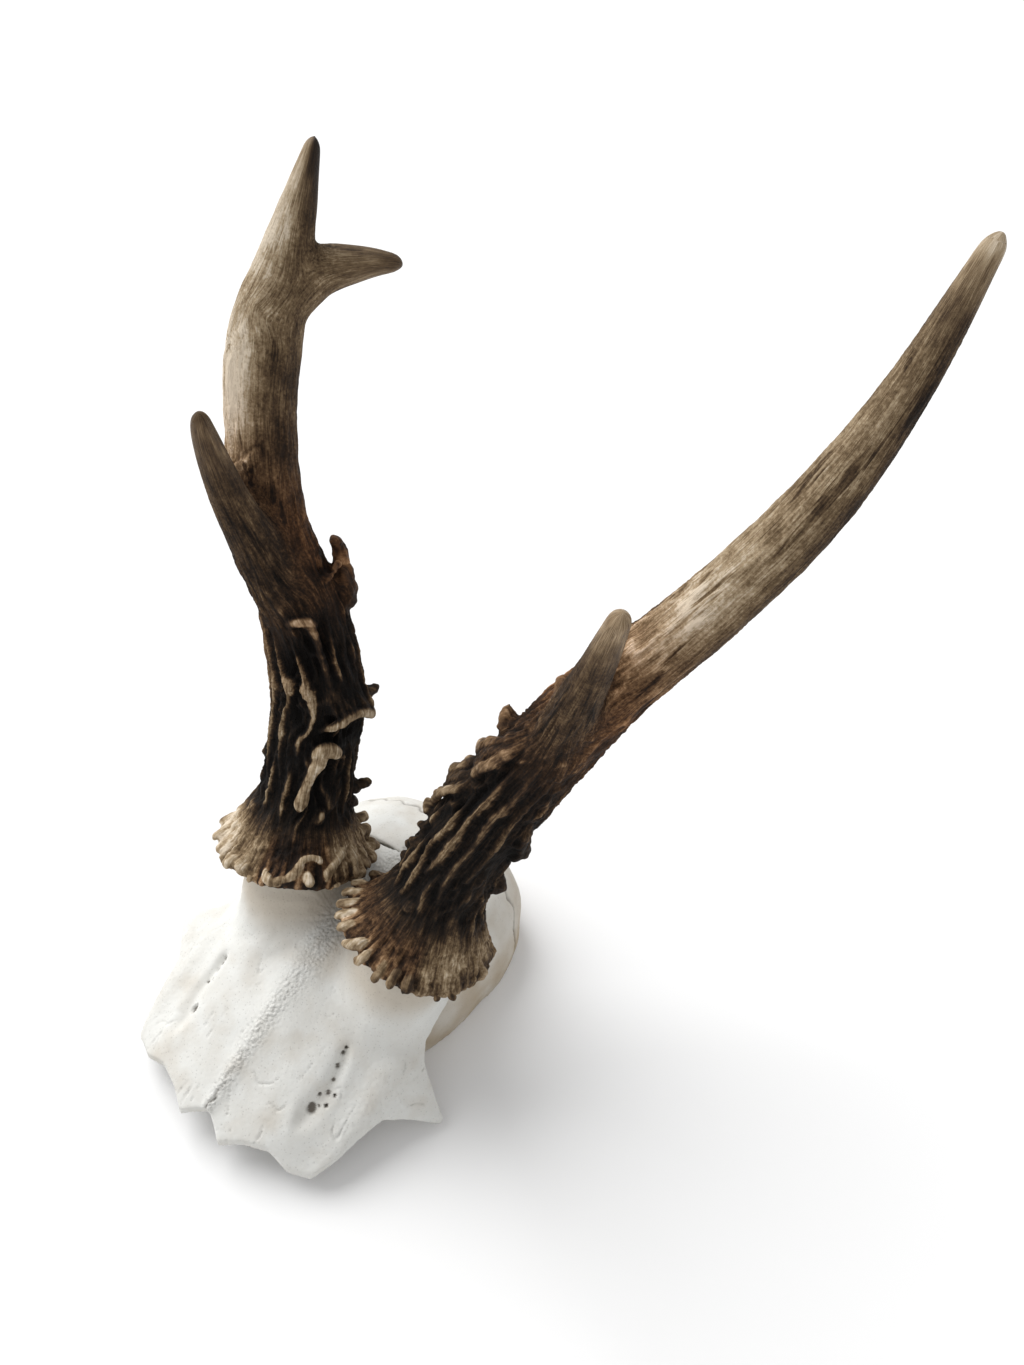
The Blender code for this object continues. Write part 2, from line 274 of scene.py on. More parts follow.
def cutOff(mesh, point, normal, near, name):
    # the part of a mesh on the side that normal points to, closed at the cut; only the island that
    # comes nearest to the point near is kept
    build = bmesh.new()
    build.from_mesh(mesh)
    place = Vector((np.array(point) / 1000 + skullOrigin).tolist())
    everything = build.verts[:] + build.edges[:] + build.faces[:]
    facing = Vector(normal).normalized()
    bmesh.ops.bisect_plane(
        build, geom=everything, dist=1e-7, plane_co=place, plane_no=facing, clear_inner=True
    )
    rim = [edge for edge in build.edges if edge.is_boundary]
    for edge in rim:
        edge.smooth = False
    bmesh.ops.holes_fill(build, edges=rim)
    result = bpy.data.meshes.new(name)
    build.to_mesh(result)
    build.free()
    edges = readEdges(result)
    label = islandLabels(len(result.vertices), edges)
    away = np.linalg.norm(readPoints(result) - np.array(near), axis=1)
    unwanted = label != label[np.argmin(away)]
    if unwanted.any():
        build = bmesh.new()
        build.from_mesh(result)
        build.verts.ensure_lookup_table()
        loose = [build.verts[index] for index in np.flatnonzero(unwanted)]
        bmesh.ops.delete(build, geom=loose, context="VERTS")
        build.to_mesh(result)
        build.free()
    return result


def islandLabels(count, edges):
    # each vertex takes the lowest label around it, over and over, until nothing changes
    label = np.arange(count)
    while True:
        lowest = label.copy()
        np.minimum.at(lowest, edges[:, 0], label[edges[:, 1]])
        np.minimum.at(lowest, edges[:, 1], label[edges[:, 0]])
        lowest = lowest[lowest]
        if np.array_equal(lowest, label):
            return label
        label = lowest


# shader parts that several finishes use


def newGroup(name, inputs, outputs):
    group = bpy.data.node_groups.new(name, "ShaderNodeTree")
    for label, kind, value in inputs:
        socket = group.interface.new_socket(label, in_out="INPUT", socket_type=kind)
        if value is not None:
            socket.default_value = value
    for label, kind in outputs:
        group.interface.new_socket(label, in_out="OUTPUT", socket_type=kind)
    return group, group.nodes.new("NodeGroupInput"), group.nodes.new("NodeGroupOutput")


def addMath(tree, operation, first, second, third=None):
    node = tree.nodes.new("ShaderNodeMath")
    node.operation = operation
    for socket, value in zip(node.inputs, (first, second, third)):
        if value is None:
            continue
        if isinstance(value, (int, float)):
            socket.default_value = value
        else:
            tree.links.new(value, socket)
    return node.outputs[0]


def addScaled(tree, vector, scale):
    node = tree.nodes.new("ShaderNodeVectorMath")
    node.operation = "MULTIPLY"
    tree.links.new(vector, node.inputs[0])
    node.inputs[1].default_value = scale
    return node.outputs[0]


def addNoise(tree, vector, scale, detail=2.0, roughness=0.55, distortion=0.0):
    node = tree.nodes.new("ShaderNodeTexNoise")
    tree.links.new(vector, node.inputs["Vector"])
    if isinstance(scale, (int, float)):
        node.inputs["Scale"].default_value = scale
    else:
        tree.links.new(scale, node.inputs["Scale"])
    node.inputs["Detail"].default_value = detail
    node.inputs["Roughness"].default_value = roughness
    node.inputs["Distortion"].default_value = distortion
    return node.outputs["Fac"]


def addRamp(tree, value, stops):
    node = tree.nodes.new("ShaderNodeValToRGB")
    tree.links.new(value, node.inputs[0])
    while len(node.color_ramp.elements) < len(stops):
        node.color_ramp.elements.new(0.5)
    for element, (place, colour) in zip(node.color_ramp.elements, stops):
        element.position = place
        element.color = (*colour, 1.0)
    return node.outputs["Color"]


def addRange(tree, value, fromLow, fromHigh, toLow, toHigh):
    node = tree.nodes.new("ShaderNodeMapRange")
    tree.links.new(value, node.inputs["Value"])
    limits = {"From Min": fromLow, "From Max": fromHigh, "To Min": toLow, "To Max": toHigh}
    for label, number in limits.items():
        node.inputs[label].default_value = number
    return node.outputs["Result"]


def addMix(tree, share, first, second, blend="MIX"):
    node = tree.nodes.new("ShaderNodeMix")
    node.data_type = "RGBA"
    node.blend_type = blend
    sockets = (node.inputs[0], node.inputs[6], node.inputs[7])  # factor, and the two colours
    for socket, value in zip(sockets, (share, first, second)):
        if isinstance(value, (int, float)):
            socket.default_value = value
        elif isinstance(value, tuple):
            socket.default_value = (*value, 1.0)
        else:
            tree.links.new(value, socket)
    return node.outputs[2]


def addAttribute(tree, name, output="Fac"):
    node = tree.nodes.new("ShaderNodeAttribute")
    node.attribute_name = name
    return node.outputs[output]


def makeFibreGroup():
    # long streaks, fine fibre lines and small pores from a vector in millimetres that runs along
    # the antler in its third number
    group, given, out = newGroup(
        "antlerFibre",
        [("Vector", "NodeSocketVector", None)],
        [(label, "NodeSocketFloat") for label in ("Streaks", "Patches", "Fibre", "Pores")],
    )
    vector = given.outputs["Vector"]
    broad = addNoise(group, addScaled(group, vector, (0.26, 0.26, 0.035)), 1.0, 3.0, 0.6, 0.6)
    slim = addNoise(group, addScaled(group, vector, (1.15, 1.15, 0.085)), 1.0, 4.0, 0.65, 0.5)
    streaks = addMath(group, "MULTIPLY_ADD", broad, 0.9, addMath(group, "MULTIPLY_ADD", slim, 0.75, -0.325))
    fibre = addNoise(group, addScaled(group, vector, (2.6, 2.6, 0.22)), 1.0, 3.0, 0.6, 0.3)
    pores = group.nodes.new("ShaderNodeTexVoronoi")
    group.links.new(addScaled(group, vector, (1.5, 1.5, 0.75)), pores.inputs["Vector"])
    pores.inputs["Scale"].default_value = 1.0
    pit = addRange(group, pores.outputs["Distance"], 0.04, 0.22, 1.0, 0.0)
    group.links.new(streaks, out.inputs["Streaks"])
    group.links.new(addRange(group, broad, 0.54, 0.63, 0.0, 1.0), out.inputs["Patches"])
    group.links.new(fibre, out.inputs["Fibre"])
    group.links.new(pit, out.inputs["Pores"])
    return group


def makeMottleGroup():
    # cloudy stains of a given size, with finer ones inside, sharpened by Contrast
    group, given, out = newGroup(
        "mottle",
        [
            ("Vector", "NodeSocketVector", None), ("Scale", "NodeSocketFloat", 1.0),
            ("Contrast", "NodeSocketFloat", 2.0),
        ],
        [("Mask", "NodeSocketFloat")],
    )
    cloud = addNoise(group, given.outputs["Vector"], given.outputs["Scale"], 5.0, 0.62, 0.2)
    centred = addMath(group, "SUBTRACT", cloud, 0.5)
    scaled = addMath(group, "MULTIPLY_ADD", centred, given.outputs["Contrast"], 0.5)
    group.links.new(scaled, out.inputs["Mask"])
    return group


def placeGroup(tree, group, vector, **values):
    node = tree.nodes.new("ShaderNodeGroup")
    node.node_tree = group
    tree.links.new(vector, node.inputs["Vector"])
    for label, value in values.items():
        node.inputs[label].default_value = value
    return node.outputs


def newMaterial(name):
    material = bpy.data.materials.new(name)
    material.use_nodes = True
    tree = material.node_tree
    return material, tree, tree.nodes["Principled BSDF"]


def addBump(tree, height, distance, strength, normal=None):
    node = tree.nodes.new("ShaderNodeBump")
    node.inputs["Strength"].default_value = strength
    node.inputs["Distance"].default_value = distance
    tree.links.new(height, node.inputs["Height"])
    if normal is not None:
        tree.links.new(normal, node.inputs["Normal"])
    return node.outputs["Normal"]


fibreGroup = makeFibreGroup()
mottleGroup = makeMottleGroup()

# colours are linear; each antler finish is a scale from the black of the furrows to ivory
antlerScale = [
    (0.00, (0.0030, 0.0022, 0.0017)),
    (0.16, (0.0120, 0.0080, 0.0054)),
    (0.32, (0.0290, 0.0175, 0.0100)),
    (0.48, (0.0830, 0.0510, 0.0270)),
    (0.64, (0.1950, 0.1330, 0.0730)),
    (0.80, (0.3950, 0.2980, 0.1880)),
    (1.00, (0.7200, 0.6150, 0.4800)),
]


def antlerMaterial(name, look):
    # the tone carried by the mesh picks a colour on the scale, and streaks, fibre and pores shift it
    material, tree, shader = newMaterial(name)
    grain = addAttribute(tree, "grain", "Vector")
    tone = addAttribute(tree, "tone")
    streakiness = addAttribute(tree, "streak")
    warm = addAttribute(tree, "warm")
    polish = addAttribute(tree, "polish")
    fibre = placeGroup(tree, fibreGroup, grain)
    stains = placeGroup(
        tree, mottleGroup, grain, Scale=look["stainScale"], Contrast=look["stainContrast"]
    )
    centred = addMath(tree, "SUBTRACT", fibre["Streaks"], 0.5)
    shifted = addMath(tree, "MULTIPLY", centred, streakiness)
    shifted = addMath(tree, "MULTIPLY_ADD", shifted, look["streaks"], tone)
    patches = addMath(tree, "MULTIPLY", fibre["Patches"], streakiness)
    shifted = addMath(tree, "MULTIPLY_ADD", patches, -look["patches"], shifted)
    fine = addMath(tree, "SUBTRACT", fibre["Fibre"], 0.5)
    fibrous = addRange(tree, streakiness, 0.0, 1.0, look["fibreDark"], look["fibrePale"])
    shifted = addMath(tree, "MULTIPLY_ADD", fine, fibrous, shifted)
    cloud = addMath(tree, "SUBTRACT", stains["Mask"], 0.5)
    shifted = addMath(tree, "MULTIPLY_ADD", cloud, look["stains"], shifted)
    shifted = addMath(tree, "MULTIPLY_ADD", fibre["Pores"], -look["pores"], shifted)
    place = tree.nodes.new("ShaderNodeTexCoord").outputs["Object"]
    specks = placeGroup(
        tree, mottleGroup, place, Scale=look["speckScale"], Contrast=look["speckContrast"]
    )
    speck = addMath(tree, "SUBTRACT", specks["Mask"], 0.5)
    dull = addRange(tree, polish, 0.0, 0.7, look["specks"], 0.02)
    shifted = addMath(tree, "MULTIPLY_ADD", speck, dull, shifted)
    colour = addRamp(tree, shifted, antlerScale)
    warmed = addMix(tree, 1.0, colour, look["warmTint"], "MULTIPLY")
    colour = addMix(tree, warm, colour, warmed)
    tree.links.new(colour, shader.inputs["Base Color"])
    rough = addRange(tree, polish, 0.0, 1.0, look["roughRough"], look["roughPolished"])
    rough = addMath(tree, "MULTIPLY_ADD", fine, 0.25, rough)
    tree.links.new(rough, shader.inputs["Roughness"])
    shader.inputs["Specular IOR Level"].default_value = look["specular"]
    height = addMath(tree, "MULTIPLY_ADD", fibre["Pores"], -0.6, fibre["Fibre"])
    height = addMath(tree, "MULTIPLY_ADD", fibre["Streaks"], 0.5, height)
    height = addMath(tree, "MULTIPLY_ADD", specks["Mask"], 0.4, height)
    height = addMath(tree, "MULTIPLY", height, addRange(tree, polish, 0.0, 1.0, 1.0, 0.15))
    bump = addBump(tree, height, look["bump"], look["bumpStrength"])
    tree.links.new(bump, shader.inputs["Normal"])
    return material


# the first rows say how far each pattern shifts the tone, up the scale or down it
antlerLook = {
    "streaks": 0.50, "patches": 0.36, "stains": 0.26, "pores": 0.05, "specks": 0.30,
    "fibreDark": 0.80, "fibrePale": 0.38,
    "warmTint": (1.25, 0.84, 0.62), "roughRough": 0.8, "roughPolished": 0.36, "specular": 0.16,
    "stainScale": 0.16, "stainContrast": 2.2, "speckScale": 1500.0, "speckContrast": 1.6,
    "bump": 0.0007, "bumpStrength": 0.7,
}
darkAntler = antlerMaterial("darkAntler", antlerLook)
paleAntler = antlerMaterial("paleAntler", antlerLook)


# antlers

# middle line of each beam and tine, root to tip: x, y, z and radius
leftAntler = {
    "side": "left", "seed": 11, "voxel": 0.395,
    "beam": [
        (21.1, 3.0, 45.8, 12.6), (23.0, 12.4, 68.1, 11.4), (28.4, 20.9, 89.5, 10.8),
        (35.7, 26.8, 109.5, 9.8), (44.2, 31.3, 129.3, 8.0), (55.4, 38.4, 151.7, 6.9),
        (64.5, 45.1, 174.0, 6.0), (69.8, 50.8, 196.3, 4.2), (72.2, 56.7, 220.0, 2.2),
        (72.3, 57.2, 222.2, 1.9),
    ],
    "brow": [
        (34.5, 25.0, 104.0, 8.0), (38.5, 21.7, 121.0, 5.6), (43.0, 16.5, 140.5, 3.8),
        (46.4, 12.0, 157.5, 2.5), (47.2, 10.8, 162.2, 1.9),
    ],
    "ridges": [
        (-4, 0.0), (3, 0.25), (12, 0.8), (20, 1.0), (58, 1.0), (72, 0.7), (90, 0.35), (125, 0.1),
        (200, 0.0),
    ],
    "sideRidges": [(0, 0.5), (20, 1.0), (70, 1.0), (95, 0.6), (130, 0.15), (200, 0.0)],
    "tone": [
        (-4, 0.46), (4, 0.44), (10, 0.34), (18, 0.24), (50, 0.26), (72, 0.40), (88, 0.52), (100, 0.64),
        (116, 0.80), (135, 0.72), (160, 0.69), (180, 0.56), (187, 0.66), (191, 0.80), (195, 0.84),
    ],
    "browTone": [(0, 0.48), (20, 0.45), (35, 0.45), (46, 0.53), (55, 0.64), (60, 0.76), (62, 0.80)],
    # the next two numbers paint shade on the side turned from the lamp and light on the side turned to it
    "awaySidePaintedShade": 0.26, "lampSidePaintedLight": 0.03, "ridgedFrom": -50, "ridgedOver": (0.0, 0.7),
    "crotch": ((43.0, 25.0, 134.0), (0.30, 0.0, 0.95)),
}
rightAntler = {
    "side": "right", "seed": 47, "voxel": 0.395,
    "beam": [
        (-20.4, 4.1, 46.0, 12.8), (-24.2, 12.7, 66.8, 11.8), (-28.0, 20.6, 86.9, 11.4),
        (-35.8, 24.1, 106.1, 10.2), (-47.6, 26.2, 126.5, 8.2), (-55.2, 31.3, 147.0, 8.1),
        (-58.8, 37.5, 164.0, 8.1), (-59.6, 45.8, 180.9, 5.4), (-60.1, 53.8, 199.2, 1.9),
        (-60.2, 54.5, 201.5, 1.4),
    ],
    "brow": [
        (-34.5, 22.5, 102.0, 8.2), (-41.5, 18.0, 120.0, 6.3), (-47.0, 12.5, 140.0, 4.2),
        (-48.8, 9.0, 154.5, 2.8), (-48.6, 7.8, 161.0, 1.5),
    ],
    "rear": [
        (-59.2, 40.0, 170.0, 7.2), (-56.0, 50.0, 175.5, 5.6), (-49.5, 57.0, 178.0, 3.8),
        (-44.0, 62.0, 178.8, 2.2), (-42.2, 64.0, 178.0, 1.5),
    ],
    "ridges": [
        (-4, 0.0), (3, 0.25), (12, 0.8), (20, 1.0), (58, 1.0), (68, 0.45), (98, 0.25), (125, 0.12),
        (200, 0.0),
    ],
    "sideRidges": [(0, 0.5), (20, 1.0), (88, 1.0), (104, 0.5), (130, 0.15), (200, 0.0)],
    "tone": [
        (-4, 0.52), (4, 0.48), (10, 0.34), (18, 0.20), (58, 0.19), (66, 0.32), (80, 0.42), (96, 0.50),
        (108, 0.74), (116, 0.90), (138, 0.93), (154, 0.90), (165, 0.74), (173, 0.60),
    ],
    "browTone": [(0, 0.42), (20, 0.40), (40, 0.46), (54, 0.50), (60, 0.55), (63, 0.52)],
    "rearTone": [(0, 0.66), (12, 0.60), (24, 0.60), (30, 0.54), (32, 0.50)],
    # the next two numbers paint shade on the side turned from the lamp and light on the side turned to it
    "awaySidePaintedShade": 0.40, "lampSidePaintedLight": 0.12, "ridgedFrom": -70, "ridgedOver": (-0.1, 0.5),
    "crotch": ((-48.0, 20.0, 135.0), (-0.30, 0.0, 0.95)),
    "rearRoot": ((-54.5, 52.0, 176.5), (0.85, 0.50, 0.03)),
}

# what stands up from each beam: stations of distance along, turn from the front in degrees, height of
# the middle over the beam, half width and half thickness; the last number is how pale it is
leftAntler["details"] = {
    "upperPlate": ([
        (50, -50, 0.0, 0.9, 0.8), (53, -45, 1.0, 1.2, 0.9), (57, -38, 1.5, 1.5, 0.9),
        (61, -32, 1.4, 1.4, 0.9), (65, -30, 0.9, 1.0, 0.8), (69, -32, 0.0, 0.7, 0.6),
    ], 0.66),
    "upperPlateTop": ([
        (52, -62, 0.2, 2.6, 0.9), (57, -56, 0.7, 3.0, 0.9), (63, -44, 0.6, 2.4, 0.8),
        (68, -38, 0.0, 1.4, 0.7),
    ], 0.38),
    "upperPlateBack": ([
        (52, -84, 0.2, 1.2, 1.0), (55, -76, 1.2, 1.4, 1.0), (59, -66, 1.5, 1.3, 0.9),
        (64, -52, 1.1, 1.1, 0.8), (69, -42, 0.2, 0.8, 0.7),
    ], 0.60),
    "lowerPlate": ([
        (33, -88, 0.3, 1.2, 1.0), (36, -80, 1.5, 1.4, 1.0), (39.5, -67, 1.9, 1.5, 1.0),
        (44, -54, 1.4, 1.3, 0.9), (50, -46, 0.1, 0.8, 0.8),
    ], 0.66),
    "lowerPlateTop": ([
        (39, -92, 0.9, 3.0, 1.2), (43, -82, 1.0, 3.2, 1.1), (46, -68, 0.6, 2.6, 0.9),
        (50, -58, 0.0, 1.4, 0.8),
    ], 0.40),
    "lowerPlateBack": ([
        (40, -100, 1.2, 1.3, 1.1), (43, -92, 2.2, 1.4, 1.1), (47, -84, 1.4, 1.2, 1.0),
        (51, -78, 0.2, 0.9, 0.8),
    ], 0.62),
    "edgeThorn": ([
        (61, -90, -1.0, 3.0, 2.8), (63.4, -92, 0.8, 2.2, 2.0), (65.6, -92, 2.4, 1.3, 1.2),
        (67.2, -92, 3.4, 0.7, 0.7),
    ], 0.64),
    "browKnob": ([
        (82, -60, -1.2, 3.0, 2.4), (84.2, -60, 0.4, 2.2, 1.8), (85.8, -60, 1.6, 1.3, 1.1),
    ], 0.60),
    "edgeNoduleHigh": ([
        (53, -88, -0.5, 2.2, 2.0), (54.5, -90, 1.2, 1.7, 1.5), (55.5, -91, 2.2, 1.0, 1.0),
    ], 0.70),
    "edgeNoduleMid": ([
        (48, -92, -0.2, 1.8, 1.6), (49, -94, 1.4, 1.4, 1.3),
    ], 0.66),
    "edgeNoduleLow": ([
        (31.5, -80, -0.5, 2.4, 2.2), (33, -83, 1.6, 1.9, 1.8), (34, -84, 3.2, 1.3, 1.2),
    ], 0.70),
    "edgeBeadA": ([
        (22, -78, -0.4, 1.8, 1.6), (22.6, -80, 1.2, 1.4, 1.3),
    ], 0.60),
    "edgeBeadB": ([
        (26, -58, -0.4, 1.6, 1.4), (26.8, -54, 0.9, 1.2, 1.1),
    ], 0.60),
    "edgeBeadC": ([
        (18.4, -76, -0.4, 1.5, 1.4), (19, -74, 1.0, 1.1, 1.1),
    ], 0.60),
    "edgeBeadD": ([
        (28.5, -72, -0.2, 1.6, 1.4), (29.4, -70, 1.1, 1.2, 1.2),
    ], 0.56),
    "edgeBeadE": ([
        (24, -68, -0.2, 1.3, 1.2), (25.4, -64, 0.8, 1.0, 1.0),
    ], 0.62),
    "rearKnobHigh": ([
        (36, 88, -0.4, 2.2, 1.6), (40, 80, 0.9, 2.4, 1.5), (45, 66, 0.5, 2.0, 1.2),
        (50, 60, -0.2, 1.4, 1.0),
    ], 0.30),
    "rearKnobLow": ([
        (23, 100, -0.5, 2.2, 1.9), (25.5, 98, 1.0, 1.9, 1.6), (28, 96, 0.0, 1.4, 1.2),
    ], 0.30),
    "pearlHigh": ([
        (13.4, -9, -0.3, 1.2, 1.1), (14.6, -7, 0.5, 0.9, 0.8),
    ], 0.80),
    "pearlLow": ([
        (8.2, -26, 0.6, 1.1, 1.0), (9.8, -24, 1.2, 0.9, 0.8),
    ], 0.66),
}
leftAntler["crests"] = {
    "ridgeOne": ([
        (62, -12, 0.1, 0.7, 0.7), (52, -8, 0.8, 0.9, 0.9), (44, -11, 0.7, 0.7, 0.9),
        (36, -8, 0.9, 1.0, 0.9), (29, -9, 0.8, 0.8, 0.9), (24, -14, 0.2, 0.6, 0.7),
    ], 0.60),
    "ridgeTwo": ([
        (47, -30, 0.1, 0.6, 0.7), (38, -26, 0.9, 0.9, 0.9), (31, -30, 0.7, 0.7, 0.9),
        (22, -24, 0.8, 0.9, 0.9), (13, -28, 0.3, 0.7, 0.8),
    ], 0.60),
    "ridgeThree": ([
        (68, 10, 0.1, 0.6, 0.7), (56, 14, 0.6, 0.8, 0.8), (47, 10, 0.8, 0.9, 0.9),
        (38, 14, 0.5, 0.7, 0.8), (28, 12, 0.6, 0.8, 0.8), (19, 18, 0.2, 0.6, 0.7),
    ], 0.54),
    "ridgeFour": ([
        (64, 37, 0.1, 0.6, 0.7), (50, 33, 0.6, 0.8, 0.8), (40, 38, 0.6, 0.7, 0.8),
        (28, 34, 0.3, 0.7, 0.7),
    ], 0.46),
    "ridgeFive": ([
        (31, -46, 0.1, 0.7, 0.7), (24, -42, 0.9, 0.9, 0.9), (18, -47, 0.7, 0.8, 0.8),
        (11, -42, 0.2, 0.7, 0.7),
    ], 0.62),
    "ridgeSix": ([
        (26, 2, 0.1, 0.5, 0.6), (20, 0, 0.7, 0.8, 0.9), (13, 6, 0.5, 0.7, 0.8), (7, 4, 0.2, 0.7, 0.7),
    ], 0.58),
}
rightAntler["details"] = {
    "boneHead": ([
        (31.4, 72, 0.3, 1.2, 1.1), (33.4, 65, 1.2, 1.9, 1.5), (34.4, 56, 1.5, 2.1, 1.6),
        (33.6, 47, 1.4, 1.9, 1.5), (31.2, 39, 0.6, 1.2, 1.1),
    ], 0.82),
    "boneStem": ([
        (34, 54, 1.2, 2.0, 1.5), (31, 49, 1.2, 1.9, 1.5), (27.5, 43, 1.1, 1.4, 1.3),
        (24, 39, 1.1, 1.2, 1.2), (21, 37, 1.3, 1.6, 1.4), (18.4, 35, 1.4, 1.9, 1.7),
        (16.2, 34, 0.8, 1.3, 1.2),
    ], 0.82),
    "shelf": ([
        (38.6, 47, -0.2, 1.0, 0.9), (39.9, 55, 1.0, 1.4, 0.9), (41.2, 64, 2.2, 1.7, 0.9),
        (42.6, 74, 2.7, 1.8, 0.9), (43.0, 86, 2.8, 1.5, 0.9), (42.4, 98, 2.8, 1.5, 0.9),
        (41.2, 110, 2.8, 1.8, 1.1), (40.0, 121, 2.5, 1.6, 1.1),
    ], 0.80),
    "roundKnob": ([
        (42.6, 134, -1.4, 2.8, 2.6), (44.2, 134, 0.8, 1.9, 1.9), (45.0, 134, 2.4, 1.4, 1.4),
        (45.6, 134, 3.6, 1.4, 1.3),
    ], 0.50),
    "ledge": ([
        (66.2, 25, 0.0, 0.6, 0.6), (66.6, 33, 1.0, 0.9, 0.7), (66.6, 43, 1.4, 1.3, 0.8),
        (66.2, 53, 1.4, 1.3, 0.8), (65.0, 61, 0.6, 0.7, 0.6),
    ], 0.82),
    "ledgeTail": ([
        (66, 54, 1.1, 1.2, 0.8), (63.5, 54, 1.1, 1.0, 0.8), (60.5, 57, 0.5, 0.5, 0.6),
        (55, 58, 0.4, 0.5, 0.7), (50.5, 61, 0.1, 0.5, 0.6),
    ], 0.72),
    "cupBase": ([
        (64, 132, -0.6, 3.2, 2.2), (68, 134, 1.0, 3.6, 2.6), (72, 138, 2.0, 3.2, 2.6),
        (75, 140, 2.6, 2.8, 2.4),
    ], 0.36),
    "cup": ([
        (73, 138, 2.2, 2.6, 2.4), (75.6, 140, 3.2, 2.2, 2.2), (78.2, 139, 3.8, 1.9, 1.9),
        (80.2, 134, 3.6, 1.7, 1.5), (80.4, 127, 2.8, 1.3, 1.2),
    ], 0.52),
    "cupRim": ([
        (73.0, 92, 0.0, 0.6, 0.6), (73.4, 104, 0.9, 0.8, 0.7), (74.2, 116, 1.7, 0.9, 0.8),
        (75.6, 128, 2.6, 0.9, 0.8),
    ], 0.58),
    "thorn": ([
        (18.6, 125, -1.4, 3.2, 2.8), (20.4, 125, 1.2, 1.9, 1.7), (21.0, 125, 3.0, 1.4, 1.3),
        (21.4, 125, 4.6, 1.1, 1.1),
    ], 0.40),
    "thornLow": ([
        (14.6, 127, -0.6, 2.4, 2.0), (16, 127, 1.2, 1.7, 1.5),
    ], 0.45),
    "browLip": ([
        (100.4, -14, -0.1, 0.9, 0.8), (101.6, -4, 0.4, 1.1, 0.9), (102.8, 10, 0.7, 1.2, 0.9),
        (103.8, 24, 0.6, 1.0, 0.8), (106.4, 39, -0.1, 0.7, 0.6),
    ], 0.80),
    "lowPearl": ([
        (13.8, 58, -0.2, 1.1, 1.0), (15.6, 60, 0.9, 1.0, 1.0), (17, 61, 0.1, 0.7, 0.7),
    ], 0.82),
}
rightAntler["crests"] = {
    "ridgeOne": ([
        (64, -7, 0.1, 0.4, 0.6), (58, -3, 0.6, 0.5, 0.8), (53, 1, 0.8, 0.7, 0.9),
        (50, 8, 1.2, 1.3, 1.0), (47, 6, 0.8, 0.6, 0.9), (42, -1, 0.8, 0.6, 0.9),
        (37, -4, 1.0, 0.9, 0.9), (31, -5, 0.5, 0.6, 0.8), (24, 2, 0.1, 0.5, 0.6),
    ], 0.70),
    "ridgeTwo": ([
        (61, 24, 0.1, 0.4, 0.6), (56, 28, 0.8, 0.6, 0.8), (52, 31, 1.0, 0.7, 0.9),
        (50, 29, 1.2, 1.3, 1.0), (47, 35, 1.0, 1.2, 0.9), (42.5, 37, 0.7, 0.7, 0.9),
        (38, 31, 0.8, 0.5, 0.8), (35.0, 21, 0.7, 0.8, 0.8), (31, 20, 0.3, 0.5, 0.7),
    ], 0.72),
    "ridgeFour": ([
        (66, 78, 0.1, 0.4, 0.6), (60, 75, 0.5, 0.5, 0.7), (55, 73, 0.8, 0.6, 0.8),
        (50, 77, 0.6, 0.5, 0.7), (47, 84, 0.2, 0.5, 0.6),
    ], 0.60),
    "ridgeFive": ([
        (88, -24, 0.1, 0.4, 0.6), (76, -20, 0.6, 0.6, 0.8), (66, -27, 0.8, 0.8, 0.9),
        (58, -24, 0.8, 0.6, 0.9), (50, -20, 0.9, 1.0, 0.9), (42, -26, 0.7, 0.6, 0.9),
        (34, -28, 0.8, 0.9, 0.9), (22, -22, 0.2, 0.5, 0.6),
    ], 0.66),
    "ridgeSix": ([
        (98, -46, 0.1, 0.5, 0.6), (84, -40, 0.6, 0.7, 0.8), (68, -48, 0.8, 0.7, 0.9),
        (52, -42, 0.9, 0.9, 0.9), (40, -50, 0.6, 0.6, 0.8), (30, -50, 0.3, 0.6, 0.7),
    ], 0.60),
    "loopLeft": ([
        (26, 74, 0.1, 0.4, 0.5), (29, 72, 0.6, 0.5, 0.6), (31.5, 76, 0.7, 0.5, 0.6),
        (31, 82, 0.6, 0.5, 0.6), (27, 84, 0.1, 0.4, 0.5),
    ], 0.62),
    "lowRidgeRight": ([
        (34, 96, 0.1, 0.5, 0.6), (28, 94, 0.7, 0.6, 0.8), (22, 99, 0.7, 0.6, 0.8),
        (15, 96, 0.4, 0.7, 0.8),
    ], 0.58),
    "lowRidgeLeft": ([
        (28, 12, 0.1, 0.5, 0.6), (23, 17, 0.8, 0.8, 0.8), (17, 13, 0.8, 0.6, 0.8),
        (11, 16, 0.4, 0.8, 0.8),
    ], 0.62),
    "lowRidgeFar": ([
        (30, -12, 0.1, 0.5, 0.6), (22, -9, 0.8, 0.6, 0.8), (14, -14, 0.6, 0.7, 0.8),
        (8, -16, 0.3, 0.8, 0.8),
    ], 0.66),
}
# sheets that swell out of the beam to a lip: from and to turn, distance along where it starts and
# where the lip is, and lip height
leftAntler["swells"] = []
rightAntler["swells"] = [(52, 128, 57, 42.6, 4.0), (26, 60, 73, 67.2, 1.6)]

# hollows: distance along, turn, half length, half width and depth
leftAntler["hollows"] = [
    (42, -34, 4.0, 2.0, 1.2), (49, -24, 5.0, 1.8, 1.2), (30, -62, 3.0, 2.0, 1.2),
    (60, -20, 4.0, 1.5, 0.9),
]
rightAntler["hollows"] = [
    (69.5, 36, 1.8, 3.4, 1.2), (62.6, 41, 3.2, 1.8, 1.7), (61, 66, 4.2, 1.7, 1.7),
    (37.4, 80, 2.6, 5.0, 1.8), (54, 15, 6.0, 1.7, 1.4), (43, 17, 5.0, 1.7, 1.4),
    (56, 43, 4.5, 1.5, 1.3), (76, 104, 2.0, 3.4, 1.2), (26, 58, 6.0, 2.4, 1.4),
]

